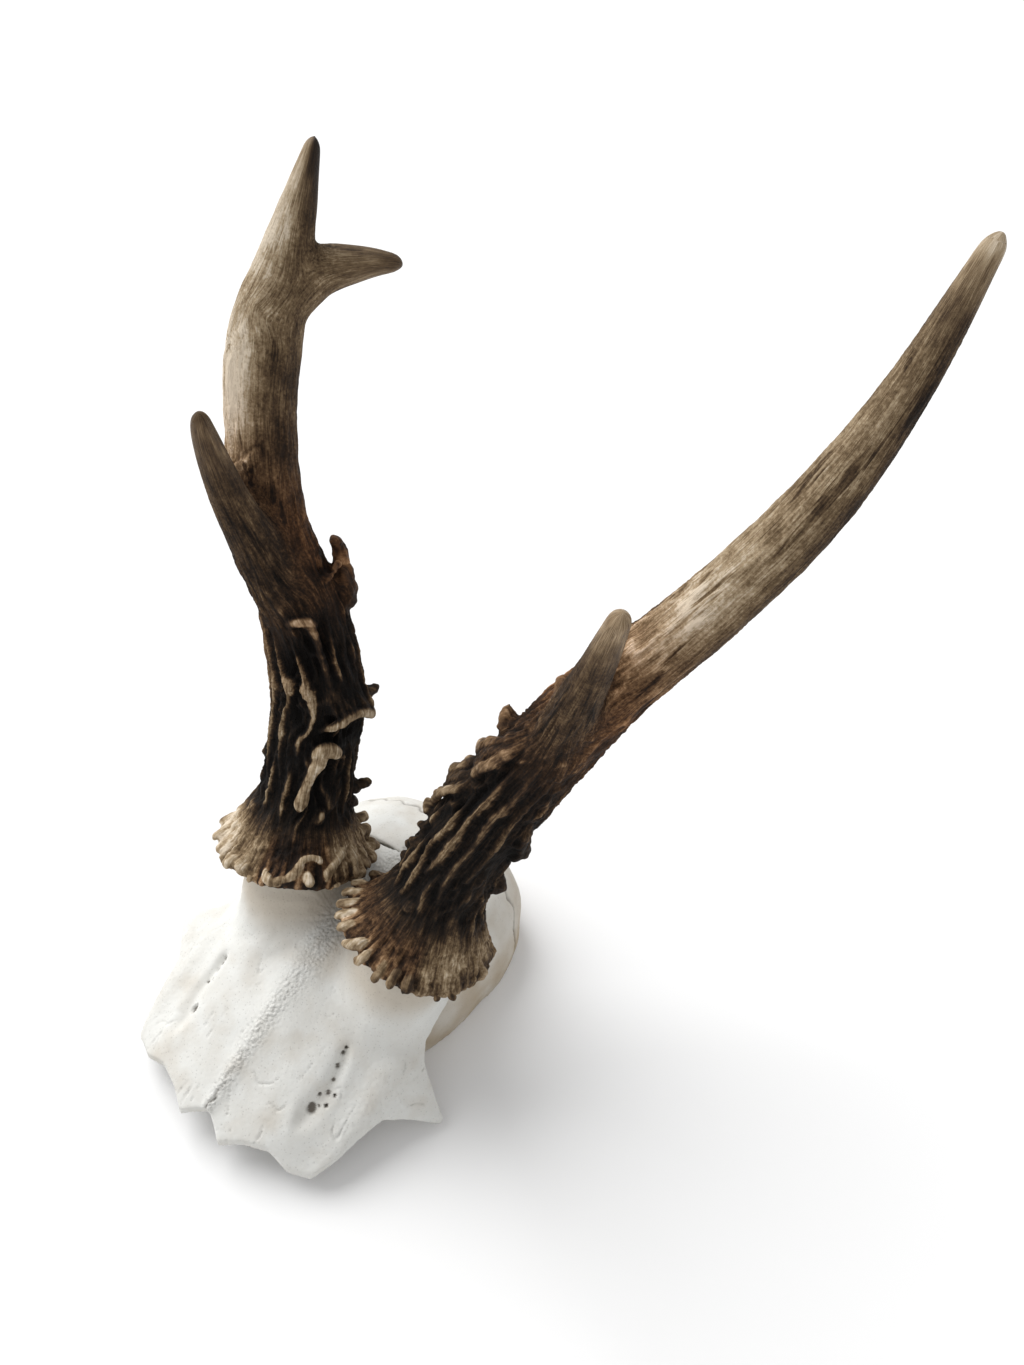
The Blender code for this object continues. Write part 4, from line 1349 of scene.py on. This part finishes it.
def placeAntler(antler):
    # one skin, then cut at its forks into the pieces
    side = antler["side"]
    mesh, spines = makeAntler(antler)
    point, normal = antler["crotch"]
    down = [-number for number in normal]
    root = spines["beam"]["points"][0]
    lower = cutOff(mesh, point, down, root, side + "LowerBeam")
    brow = cutOff(mesh, point, normal, spines["brow"]["points"][-1], side + "BrowTine")
    upper = cutOff(mesh, point, normal, spines["beam"]["points"][-1], side + "UpperBeam")
    finishPiece(side + "_antler_lower", lower, darkAntler, [side + "_lower_beam"])
    finishPiece(side + "_antler_brow_tine", brow, paleAntler, [side + "_brow_tine"])
    if "rearRoot" in antler:
        point, normal = antler["rearRoot"]
        rear = cutOff(upper, point, normal, spines["rear"]["points"][-1], side + "RearTine")
        away = [-number for number in normal]
        upper = cutOff(upper, point, away, spines["beam"]["points"][-1], side + "UpperBeam")
        finishPiece(side + "_antler_rear_tine", rear, paleAntler, [side + "_rear_tine"])
    finishPiece(side + "_antler_upper", upper, paleAntler, [side + "_upper_beam"])
    return spines


antlerSpines = {antler["side"]: placeAntler(antler) for antler in (leftAntler, rightAntler)}
print("antlers done")


# skull

skullLook = {
    "top": 38.2, "topY": 15.0, "bend": 0.0058, "fall": 0.00944, "fastFall": 1.96e-6,
    "thickness": 3.2, "pedicleThickening": 3.0, "pedicleSpread": 9.0, "pedicleX": 20.8, "gap": 0.3,
    "frontEdge": [
        (0, -50.7), (3.0, -52.3), (6.4, -54.5), (11.8, -51.2), (18.0, -48.8), (23.8, -49.0),
        (29.3, -46.4), (32.0, -40.0), (33.5, -34.0), (35.5, -27.0), (40.0, -22.0), (44.0, -18.0),
        (46.5, -15.2),
    ],
    "rearEdge": [
        (0, 24.0), (9.0, 23.8), (20.0, 22.5), (28.0, 17.5), (31.5, 9.0), (32.8, 1.0), (33.4, -7.0),
        (36.2, -11.0), (41.8, -13.2), (46.5, -14.2),
    ],
    "shoulder": 4.5,
    "pedicleFoot": 26.0, "pedicleFootRadius": 13.6, "pedicleTopRadius": 12.6, "burrBottom": -2.9,
    "voxel": 0.42,
}
caseLook = {
    "halfWidth": 35.2, "halfLength": 40.5, "height": 38.4, "boxiness": 0.80, "taper": 0.12, "wall": 3.4,
    "voxel": 0.6, "cutBelow": 5.0, "spaceTop": 80.0, "spaceForward": 12.0,
}


def foreheadHeight(x, y):
    # a parabola along the midline, falling away to the sides by the square and the fourth power
    middle = skullLook["top"] - skullLook["bend"] * np.minimum(0, y - skullLook["topY"]) ** 2
    shoulder = skullLook["shoulder"] * smoothStep(-x, 30, 45)
    return middle - skullLook["fall"] * x**2 - skullLook["fastFall"] * x**4 + shoulder


def foreheadUnderside(x, y):
    # the top less one thickness, and less a bell of bone under each pedicle
    away = (np.abs(x) - skullLook["pedicleX"]) ** 2 + y**2
    thick = skullLook["pedicleThickening"] * np.exp(-away / (2 * skullLook["pedicleSpread"] ** 2))
    return foreheadHeight(x, y) - skullLook["thickness"] - thick


def slabShape(upper, lower, grow, growFront):
    # a sheet over the forehead's plan between two height functions, both closed along the outline
    front, rear = np.array(skullLook["frontEdge"]), np.array(skullLook["rearEdge"])
    reach = front[-1, 0] + grow
    x = np.linspace(-reach, reach, 140)
    near = np.abs(x)
    frontY = np.interp(near - grow, front[:, 0], front[:, 1]) - growFront
    rearY = np.interp(near - grow, rear[:, 0], rear[:, 1]) + grow
    rows = 70
    y = frontY[:, None] + (rearY - frontY)[:, None] * np.linspace(0, 1, rows)
    wide = np.broadcast_to(x[:, None], y.shape)
    top = np.stack([wide, y, upper(wide, y)], axis=-1).reshape(-1, 3)
    bottom = np.stack([wide, y, lower(wide, y)], axis=-1).reshape(-1, 3)
    count = len(top)
    index = np.arange(count).reshape(y.shape)
    corners = [index[:-1, :-1], index[1:, :-1], index[1:, 1:], index[:-1, 1:]]
    upperFaces = np.stack([corner.ravel() for corner in corners], axis=1)
    lowerFaces = upperFaces[:, ::-1] + count
    around = np.concatenate([index[:, 0], index[-1, 1:], index[-2::-1, -1], index[0, -2:0:-1]])
    following = np.roll(around, -1)
    walls = np.stack([following, around, around + count, following + count], axis=1)
    faces = np.vstack([upperFaces, lowerFaces, walls]).tolist()
    return np.vstack([top, bottom]), faces


def pedicleShape(spine):
    # a tube down the antler's first direction into the forehead
    along = np.linspace(-skullLook["pedicleFoot"], skullLook["burrBottom"], 12)
    points = spine["points"][0] + along[:, None] * spine["tangent"][0]
    share = (along - along[0]) / (along[-1] - along[0])
    radius = skullLook["pedicleFootRadius"] * (1 - share) + skullLook["pedicleTopRadius"] * share
    return sweep(points[None], radius[None], radius[None], spine["front"][:1], 48)


def holeDepth(points, place, radius, depth):
    # a round-bottomed pit around a place in plan
    away = np.hypot(points[:, 0] - place[0], points[:, 1] - place[1])
    return depth * smoothStep(away, radius * 1.25, radius * 0.55)


def lineDistance(points, line):
    # distance in plan to a line of straight stretches, and how far along it, 0 to 1
    knots = np.array(line, float)
    best = np.full(len(points), 1e9)
    share = np.zeros(len(points))
    spans = np.linalg.norm(np.diff(knots, axis=0), axis=1)
    walked = np.r_[0, np.cumsum(spans)]
    for index, (start, end) in enumerate(zip(knots, knots[1:])):
        step = end - start
        t = np.clip(((points[:, :2] - start) @ step) / (step @ step), 0, 1)
        away = np.linalg.norm(points[:, :2] - start - t[:, None] * step, axis=1)
        closer = away < best
        best[closer] = away[closer]
        share[closer] = (walked[index] + t[closer] * spans[index]) / walked[-1]
    return best, share


# holes are place in plan, radius and depth; a groove is a line in plan
bareMarks = {
    "leftHoles": [
        ((21.6, -37.6), 1.2, 2.1), ((23.0, -32.9), 0.6, 1.8), ((21.3, -27.5), 0.6, 1.6),
        ((22.4, -30.2), 0.5, 1.4), ((24.2, -35.0), 0.45, 1.2), ((20.6, -24.6), 0.5, 1.6),
        ((20.4, -23.4), 0.45, 1.5), ((24.6, -32.2), 0.4, 1.1), ((21.4, -34.4), 0.4, 1.1),
        ((22.8, -36.2), 0.35, 0.9),
    ],
    "rightHoles": [
        ((-20.2, -36.5), 1.15, 2.1), ((-21.5, -26.6), 0.75, 2.0), ((-22.6, -30.0), 0.45, 1.2),
        ((-20.6, -29.0), 0.4, 1.0), ((-21.8, -24.8), 0.5, 1.6), ((-21.8, -23.4), 0.5, 1.5),
    ],
    "leftGroove": [(20.0, -21.5), (21.8, -27.5), (22.6, -33.0), (21.4, -38.5), (20.2, -44.0)],
    "rightGroove": [(-21.7, -21.0), (-22.2, -27.0), (-22.6, -32.5), (-21.2, -38.5), (-20.4, -44.0)],
}


# heights and depths in millimetres; deepest keeps every hole inside the bone's thickness
foreheadRelief = {
    "band": 0.7, "worms": 0.4, "crack": 0.5, "groove": 1.7, "unevenness": 0.5, "crease": 0.38,
    "brow": 0.9, "socket": 0.9, "trough": 0.6, "pedicleGrain": 0.18, "deepest": 2.4,
    "bandWidth": [(-54, 1.0), (-46, 1.7), (-25, 2.8), (-5, 4.6), (24, 3.8)],
    "grooveWidth": [(0, 1.0), (0.5, 1.9), (0.75, 2.4), (1, 1.0)],
    "filletRadius": 15.5, "filletWidth": 7.0,
}


def makeForehead():
    relief = foreheadRelief
    beams = [antlerSpines[side]["beam"] for side in ("left", "right")]
    slab = slabShape(foreheadHeight, foreheadUnderside, 0.0, 0.0)
    shapes = [slab, *[pedicleShape(beam) for beam in beams]]
    mesh = weldIntoOne("forehead", shapes, skullLook["voxel"])
    edges = readEdges(mesh)
    points = smoothed(readPoints(mesh), edges, 3)
    # a soft fillet where each pedicle grows out of the forehead
    height = points[:, 2] - foreheadHeight(points[:, 0], points[:, 1])
    width = relief["filletWidth"]
    joint = np.zeros(len(points))
    for beam in beams:
        ring = bell(awayFromAxis(points, beam) - relief["filletRadius"], width)
        joint = np.maximum(joint, ring * bell(height - 1.5, width))
    joint *= height > -1.2
    points = smoothed(points, edges, 170, 0.95 * joint)
    writePoints(mesh, points)
    normals = readNormals(mesh)

    x, y = points[:, 0], points[:, 1]
    outer = smoothStep(normals[:, 2], 0.05, 0.5)
    away = np.minimum(*[awayFromAxis(points, beam) for beam in beams])
    offPedicle = smoothStep(away, 13.5, 17.0)

    # suture: a raised band with a worm-like relief and one fine zigzag line
    wander = 0.5 * noiseAt(np.stack([y / 4.0, y * 0, y * 0], axis=1), 301) + 0.35 * np.sin(y * 1.9)
    bandWidth = curveAt(relief["bandWidth"], y)
    band = bell(x, bandWidth)
    worms = bell(layeredNoise(np.stack([x / 0.95, y / 0.95, x * 0], axis=1), 311, 2), 0.2)
    crack = bell(x - wander, 0.3) * smoothStep(y, -40, -50)
    lift = relief["band"] * bell(x, bandWidth * 1.25) + relief["worms"] * band * (worms - 0.4)
    lift = outer * (lift - relief["crack"] * crack)

    # grooves and holes over the eye sockets
    pitted = np.zeros(len(points))
    for side in ("left", "right"):
        distance, share = lineDistance(points, bareMarks[side + "Groove"])
        groove = bell(distance, curveAt(relief["grooveWidth"], share))
        groove = groove * smoothStep(share, 0.0, 0.15) * smoothStep(share, 1.0, 0.8)
        lift -= outer * relief["groove"] * groove
        for place, radius, depth in bareMarks[side + "Holes"]:
            sink = holeDepth(points, place, radius, depth)
            pitted = np.maximum(pitted, sink / depth)
            lift -= outer * sink

    # broad unevenness, fine creases that run towards the nose, and grain by the eye sockets
    broad = layeredNoise(points / 14.0, 321, 2)
    crease = bell(noiseAt(points * [0.22, 0.06, 0.10] + 7.0, 331), 0.02)
    crease *= smoothStep(noiseAt(points / 9.0, 332), 0.0, 0.3)
    grainy = layeredNoise(points / 1.0, 341, 2)
    rim = smoothStep(np.abs(x), 24, 33) * smoothStep(y, -12, -24)
    swells = relief["unevenness"] * broad - relief["crease"] * crease
    socket = bell(np.abs(x) - 27.5, 4.5) * bell(y + 30.0, 9.0)
    trough = bell(np.abs(x) - 10.0, 5.0) * bell(y + 22.0, 16.0)
    brow = bell(np.abs(x) - 31.0, 3.0) * smoothStep(y, -8, -18)
    swells += relief["brow"] * brow - relief["socket"] * socket - relief["trough"] * trough
    lift += outer * offPedicle * swells
    lift += grainy * (0.04 + 0.09 * rim * outer)
    upright = noiseAt(np.stack([np.arctan2(y, x) * 9, points[:, 2] / 4, x * 0], axis=1), 351)
    lift += (1 - offPedicle) * relief["pedicleGrain"] * upright
    lift = np.maximum(lift, -relief["deepest"])
    points = points + normals * lift[:, None]
    writePoints(mesh, points)

    # brown near the burrs: the bone's own staining and painted shade under the burrs
    nearBurr = smoothStep(away, 24.0, 12.5) * smoothStep(points[:, 2], 30, 40)
    clouds = layeredNoise(points / 9.0, 361, 3) * offPedicle
    setAttribute(mesh, "stainAndShade", np.clip(0.55 * nearBurr + 0.25 * clouds, 0, 1))
    # dark in the suture's crack and between its worms, and painted shade down the holes
    seamAndHoleShade = np.maximum(band * 0.16 * (1 - worms) + crack * 0.7, smoothStep(pitted, 0.25, 0.8))
    setAttribute(mesh, "seamAndHoleShade", np.clip(outer * seamAndHoleShade, 0, 1))
    setAttribute(mesh, "cut", np.zeros(len(points)))
    setAttribute(mesh, "band", np.clip(outer * band * 1.3, 0, 1))
    return mesh


def awayFromAxis(points, spine):
    # distance from the straight line that carries the antler's first direction on downwards
    gap = points - spine["points"][0]
    along = gap @ spine["tangent"][0]
    return np.linalg.norm(gap - along[:, None] * spine["tangent"][0], axis=1)


def halfEgg(inset, rim):
    # a ball drawn out to a superquadric, cut off at the height rim and closed there
    sizes = np.array([caseLook["halfWidth"], caseLook["halfLength"], caseLook["height"]]) - inset
    power = caseLook["boxiness"]
    turns = np.linspace(0, 2 * math.pi, 160, endpoint=False)
    rise = np.arcsin(np.clip((max(rim, 0) / sizes[2]) ** (1 / power), 0, 1))
    tilts = np.linspace(rise, math.pi / 2 * 0.995, 60)

    def bend(value):
        return np.sign(value) * np.abs(value) ** power

    flat = bend(np.cos(tilts))[:, None]
    x = sizes[0] * flat * bend(np.cos(turns))
    y = sizes[1] * flat * bend(np.sin(turns))
    z = np.broadcast_to((sizes[2] * bend(np.sin(tilts)))[:, None], x.shape).copy()
    x = x * (1 + caseLook["taper"] * y / sizes[1])
    rings = np.stack([x, y + caseMiddleY, z], axis=-1)
    if rim < 0:
        rings = np.concatenate([rings[:1] + [0, 0, rim], rings])
    count = len(turns)
    points = rings.reshape(-1, 3)
    start = np.arange(len(rings) - 1)[:, None] * count
    here, beside = start + np.arange(count), start + (np.arange(count) + 1) % count
    faces = np.stack([here, beside, beside + count, here + count], axis=-1).reshape(-1, 4).tolist()
    faces += [list(range(count))[::-1], list(range(len(points) - count, len(points)))]
    return points, faces


def subtract(piece, shape, name):
    # takes a closed shape away from the piece
    tool = linkPiece(name, putInMesh(name, [shape]))
    modifier = piece.modifiers.new(name, "BOOLEAN")
    modifier.operation = "DIFFERENCE"
    modifier.solver = "EXACT"
    modifier.object = tool
    result = resultOf(piece)
    piece.modifiers.clear()
    piece.data = result
    bpy.data.objects.remove(tool)


# heights and depths in millimetres
caseRelief = {
    "temple": 0.45, "midSuture": 0.45, "backSuture": 0.55, "ridge": 0.8, "unevenness": 0.45,
    "vessels": 0.6, "grain": 0.06, "sawMarks": 0.35,
}


def makeCase():
    relief = caseRelief
    piece = linkPiece("caseRough", putInMesh("caseRough", [halfEgg(0.0, 0.0)]))
    subtract(piece, halfEgg(caseLook["wall"], -caseLook["cutBelow"]), "brainSpace")

    # room for the forehead, up past everything and forward past its front edge
    gap = skullLook["gap"]

    def spaceTop(x, _):
        return x * 0 + caseLook["spaceTop"]

    def spaceBottom(x, y):
        return foreheadUnderside(x, y) - gap

    subtract(piece, slabShape(spaceTop, spaceBottom, gap, caseLook["spaceForward"]), "foreheadSpace")
    modifier = piece.modifiers.new("skin", "REMESH")
    modifier.mode = "VOXEL"
    modifier.voxel_size = caseLook["voxel"] / 1000
    mesh = resultOf(piece)
    bpy.data.objects.remove(piece)
    edges = readEdges(mesh)
    points = smoothed(readPoints(mesh), edges, 2)
    writePoints(mesh, points)
    normals = readNormals(mesh)
    x, y, z = points.T
    centre = np.array([0, caseMiddleY, 0])
    outer = smoothStep(np.sum(normals * (points - centre), axis=1), 0, 8)
    sawn = smoothStep(z, 1.4, 0.5) * smoothStep(-normals[:, 2], 0.5, 0.9)

    # sutures: along the midline and a zigzag arc across the back
    wiggle = 0.7 * np.sin(y * 1.6) + 0.5 * noiseAt(points / 2.5, 401)
    middleLine = bell(x - wiggle, 0.45) * smoothStep(y, 58, 50)
    arc = y - (45.0 - 0.006 * x**2) - 1.1 * np.sin(x * 1.1) - 0.7 * noiseAt(points / 2.2, 411)
    backLine = bell(arc, 0.5)

    # temple lines, the ridge across the back, vessel grooves inside, and saw marks on the rim
    side = np.abs(x) - (27.0 - 0.004 * (y - 20) ** 2)
    temple = bell(side, 1.3) * smoothStep(z, 18, 26) * smoothStep(y, 46, 36)
    ridge = bell(y - 52 + 0.004 * x**2, 2.2) * smoothStep(z, 6, 14)
    vessels = bell(noiseAt(points / 11.0 + 3.0, 421), 0.06) * (1 - outer)
    lift = relief["temple"] * temple + relief["ridge"] * ridge
    lift -= relief["midSuture"] * middleLine + relief["backSuture"] * backLine
    lift += relief["unevenness"] * layeredNoise(points / 12.0, 431, 2)
    lift = outer * lift - relief["vessels"] * vessels
    lift += relief["grain"] * layeredNoise(points / 1.2, 441, 2)
    sawMarks = smoothStep(layeredNoise(points / 0.9, 451, 1), 0.05, 0.4)
    lift -= relief["sawMarks"] * sawn * sawMarks
    lift = np.where(sawn > 0.5, np.minimum(lift, 0), lift)
    points = points + normals * lift[:, None]
    points[:, 2] = np.maximum(points[:, 2], 0.0)
    writePoints(mesh, points)
    clouds = layeredNoise(points / 10.0, 461, 3)
    # browner towards the saw cut: the bone's own staining and painted shade on the lower sides
    setAttribute(mesh, "stainAndShade", np.clip(0.10 + 0.62 * smoothStep(z, 34, 6) + 0.25 * clouds, 0, 1))
    setAttribute(mesh, "seamAndHoleShade", np.clip(outer * (middleLine + backLine) * 0.7 + vessels * 0.4, 0, 1))
    setAttribute(mesh, "cut", sawn)
    setAttribute(mesh, "band", np.zeros(len(points)))
    return mesh


def boneMaterial(name, look):
    # bleached bone: near white, yellower where stained, and brown as painted shade under the burrs and low
    # on the braincase; brown in seams and pores, and dark as painted shade down the holes
    material, tree, shader = newMaterial(name)
    coordinates = tree.nodes.new("ShaderNodeTexCoord").outputs["Object"]
    stainAndShade, seamAndHoleShade, cut, band = (addAttribute(tree, label) for label in ("stainAndShade", "seamAndHoleShade", "cut", "band"))
    clouds = placeGroup(tree, mottleGroup, coordinates, Scale=90.0, Contrast=1.6)
    fine = placeGroup(tree, mottleGroup, coordinates, Scale=900.0, Contrast=1.4)
    pores = tree.nodes.new("ShaderNodeTexVoronoi")
    tree.links.new(coordinates, pores.inputs["Vector"])
    pores.inputs["Scale"].default_value = look["poreScale"]
    pit = addRange(tree, pores.outputs["Distance"], 0.05, 0.26, 1.0, 0.0)
    creamy = addRange(tree, clouds["Mask"], 0.3, 0.9, 0.0, 1.0)
    colour = addMix(tree, creamy, look["white"], look["cream"])
    # brown where stained, and as painted shade under the burrs and low on the braincase
    colour = addMix(tree, stainAndShade, colour, look["stainAndShadeBrown"])
    speck = addMath(tree, "MULTIPLY", pit, 0.22)
    colour = addMix(tree, speck, colour, look["poreSeamAndHoleShade"])
    # seams dark, and painted shade down the forehead's holes
    colour = addMix(tree, addMath(tree, "MULTIPLY", seamAndHoleShade, 0.85), colour, look["poreSeamAndHoleShade"])
    sawn = addMath(tree, "MULTIPLY", cut, addRange(tree, fine["Mask"], 0.4, 0.6, 0.2, 0.9))
    colour = addMix(tree, sawn, colour, look["sawn"])
    tree.links.new(colour, shader.inputs["Base Color"])
    rough = addRange(tree, fine["Mask"], 0.2, 0.8, look["roughness"] - 0.06, look["roughness"] + 0.08)
    tree.links.new(rough, shader.inputs["Roughness"])
    shader.inputs["Specular IOR Level"].default_value = look["specular"]
    height = addMath(tree, "MULTIPLY_ADD", pit, -0.7, fine["Mask"])
    grains = tree.nodes.new("ShaderNodeTexVoronoi")
    tree.links.new(coordinates, grains.inputs["Vector"])
    grains.inputs["Scale"].default_value = look["grainScale"]
    beads = addRange(tree, grains.outputs["Distance"], 0.1, 0.75, 1.0, 0.0)
    knobbly = addMath(tree, "MULTIPLY", beads, band)
    normal = addBump(tree, height, look["bump"], 0.5)
    normal = addBump(tree, knobbly, look["bandBump"], 0.55, normal)
    tree.links.new(normal, shader.inputs["Normal"])
    return material


bleachedBone = boneMaterial("bleachedBone", {
    "white": (0.73, 0.73, 0.70), "cream": (0.66, 0.645, 0.60), "stainAndShadeBrown": (0.42, 0.33, 0.22),
    "poreSeamAndHoleShade": (0.07, 0.052, 0.035), "sawn": (0.62, 0.54, 0.42), "roughness": 0.55, "specular": 0.2,
    "poreScale": 1100.0, "grainScale": 1000.0, "bump": 0.00012, "bandBump": 0.0005,
})

forehead = makeForehead()
farLeft, farRight = (40.0, -18.0, 8.0), (-40.0, -18.0, 8.0)
leftBone = cutOff(forehead, (0, 0, 0), (1, 0, 0), farLeft, "leftFrontal")
rightBone = cutOff(forehead, (0, 0, 0), (-1, 0, 0), farRight, "rightFrontal")
finishPiece("left_frontal", leftBone, bleachedBone, ["left_frontal_bone"])
finishPiece("right_frontal", rightBone, bleachedBone, ["right_frontal_bone"])
finishPiece("braincase_shell", makeCase(), bleachedBone, ["braincase"])
print("skull done")


# floor, light and camera

stageLook = {
    "floorSize": 8.0, "floorColour": (0.93, 0.93, 0.93), "world": (1.0, 1.0, 1.0), "worldStrength": 0.58,
    "keyPower": 2.8, "keySoftness": 50.0, "keyPlace": (-0.85, 0.05, 0.80),
}
cameraLook = {
    "place": (85.04, -118.67, 262.30), "azimuth": 25.58, "elevation": 42.98, "roll": 11.23, "lens": 25.58,
}


def makeFloor():
    half = stageLook["floorSize"] / 2
    mesh = bpy.data.meshes.new("floor")
    corners = [(-half, -half, 0), (half, -half, 0), (half, half, 0), (-half, half, 0)]
    mesh.from_pydata(corners, [], [(0, 1, 2, 3)])
    floor = linkPiece("floor", mesh)
    material, _, shader = newMaterial("paleFloor")
    shader.inputs["Base Color"].default_value = (*stageLook["floorColour"], 1.0)
    shader.inputs["Roughness"].default_value = 0.9
    mesh.materials.append(material)


def makeKeyLight():
    light = bpy.data.lights.new("keyLight", "SUN")
    light.angle = math.radians(stageLook["keySoftness"])
    light.energy = stageLook["keyPower"]
    lamp = bpy.data.objects.new("keyLight", light)
    bpy.context.scene.collection.objects.link(lamp)
    place = Vector(stageLook["keyPlace"])
    lamp.location = place
    lamp.rotation_euler = (-place).to_track_quat("-Z", "Y").to_euler()


def makeCamera():
    azimuth, elevation = math.radians(cameraLook["azimuth"]), math.radians(cameraLook["elevation"])
    level = math.cos(elevation)
    ahead = Vector((-math.sin(azimuth) * level, math.cos(azimuth) * level, -math.sin(elevation)))
    camera = bpy.data.objects.new("camera", bpy.data.cameras.new("camera"))
    bpy.context.scene.collection.objects.link(camera)
    camera.data.lens = cameraLook["lens"]
    camera.data.clip_start = 0.01
    turned = ahead.to_track_quat("-Z", "Y").to_matrix().to_4x4()
    rolled = Matrix.Rotation(math.radians(cameraLook["roll"]), 4, "Z")
    camera.matrix_world = Matrix.Translation(Vector(cameraLook["place"]) / 1000) @ turned @ rolled
    bpy.context.scene.camera = camera


makeFloor()
makeKeyLight()
makeCamera()
world = bpy.data.worlds.new("studio")
bpy.context.scene.world = world
world.use_nodes = True
world.node_tree.nodes["Background"].inputs["Color"].default_value = (*stageLook["world"], 1.0)
world.node_tree.nodes["Background"].inputs["Strength"].default_value = stageLook["worldStrength"]
bpy.context.scene.view_settings.view_transform = "Standard"
print("stage done")
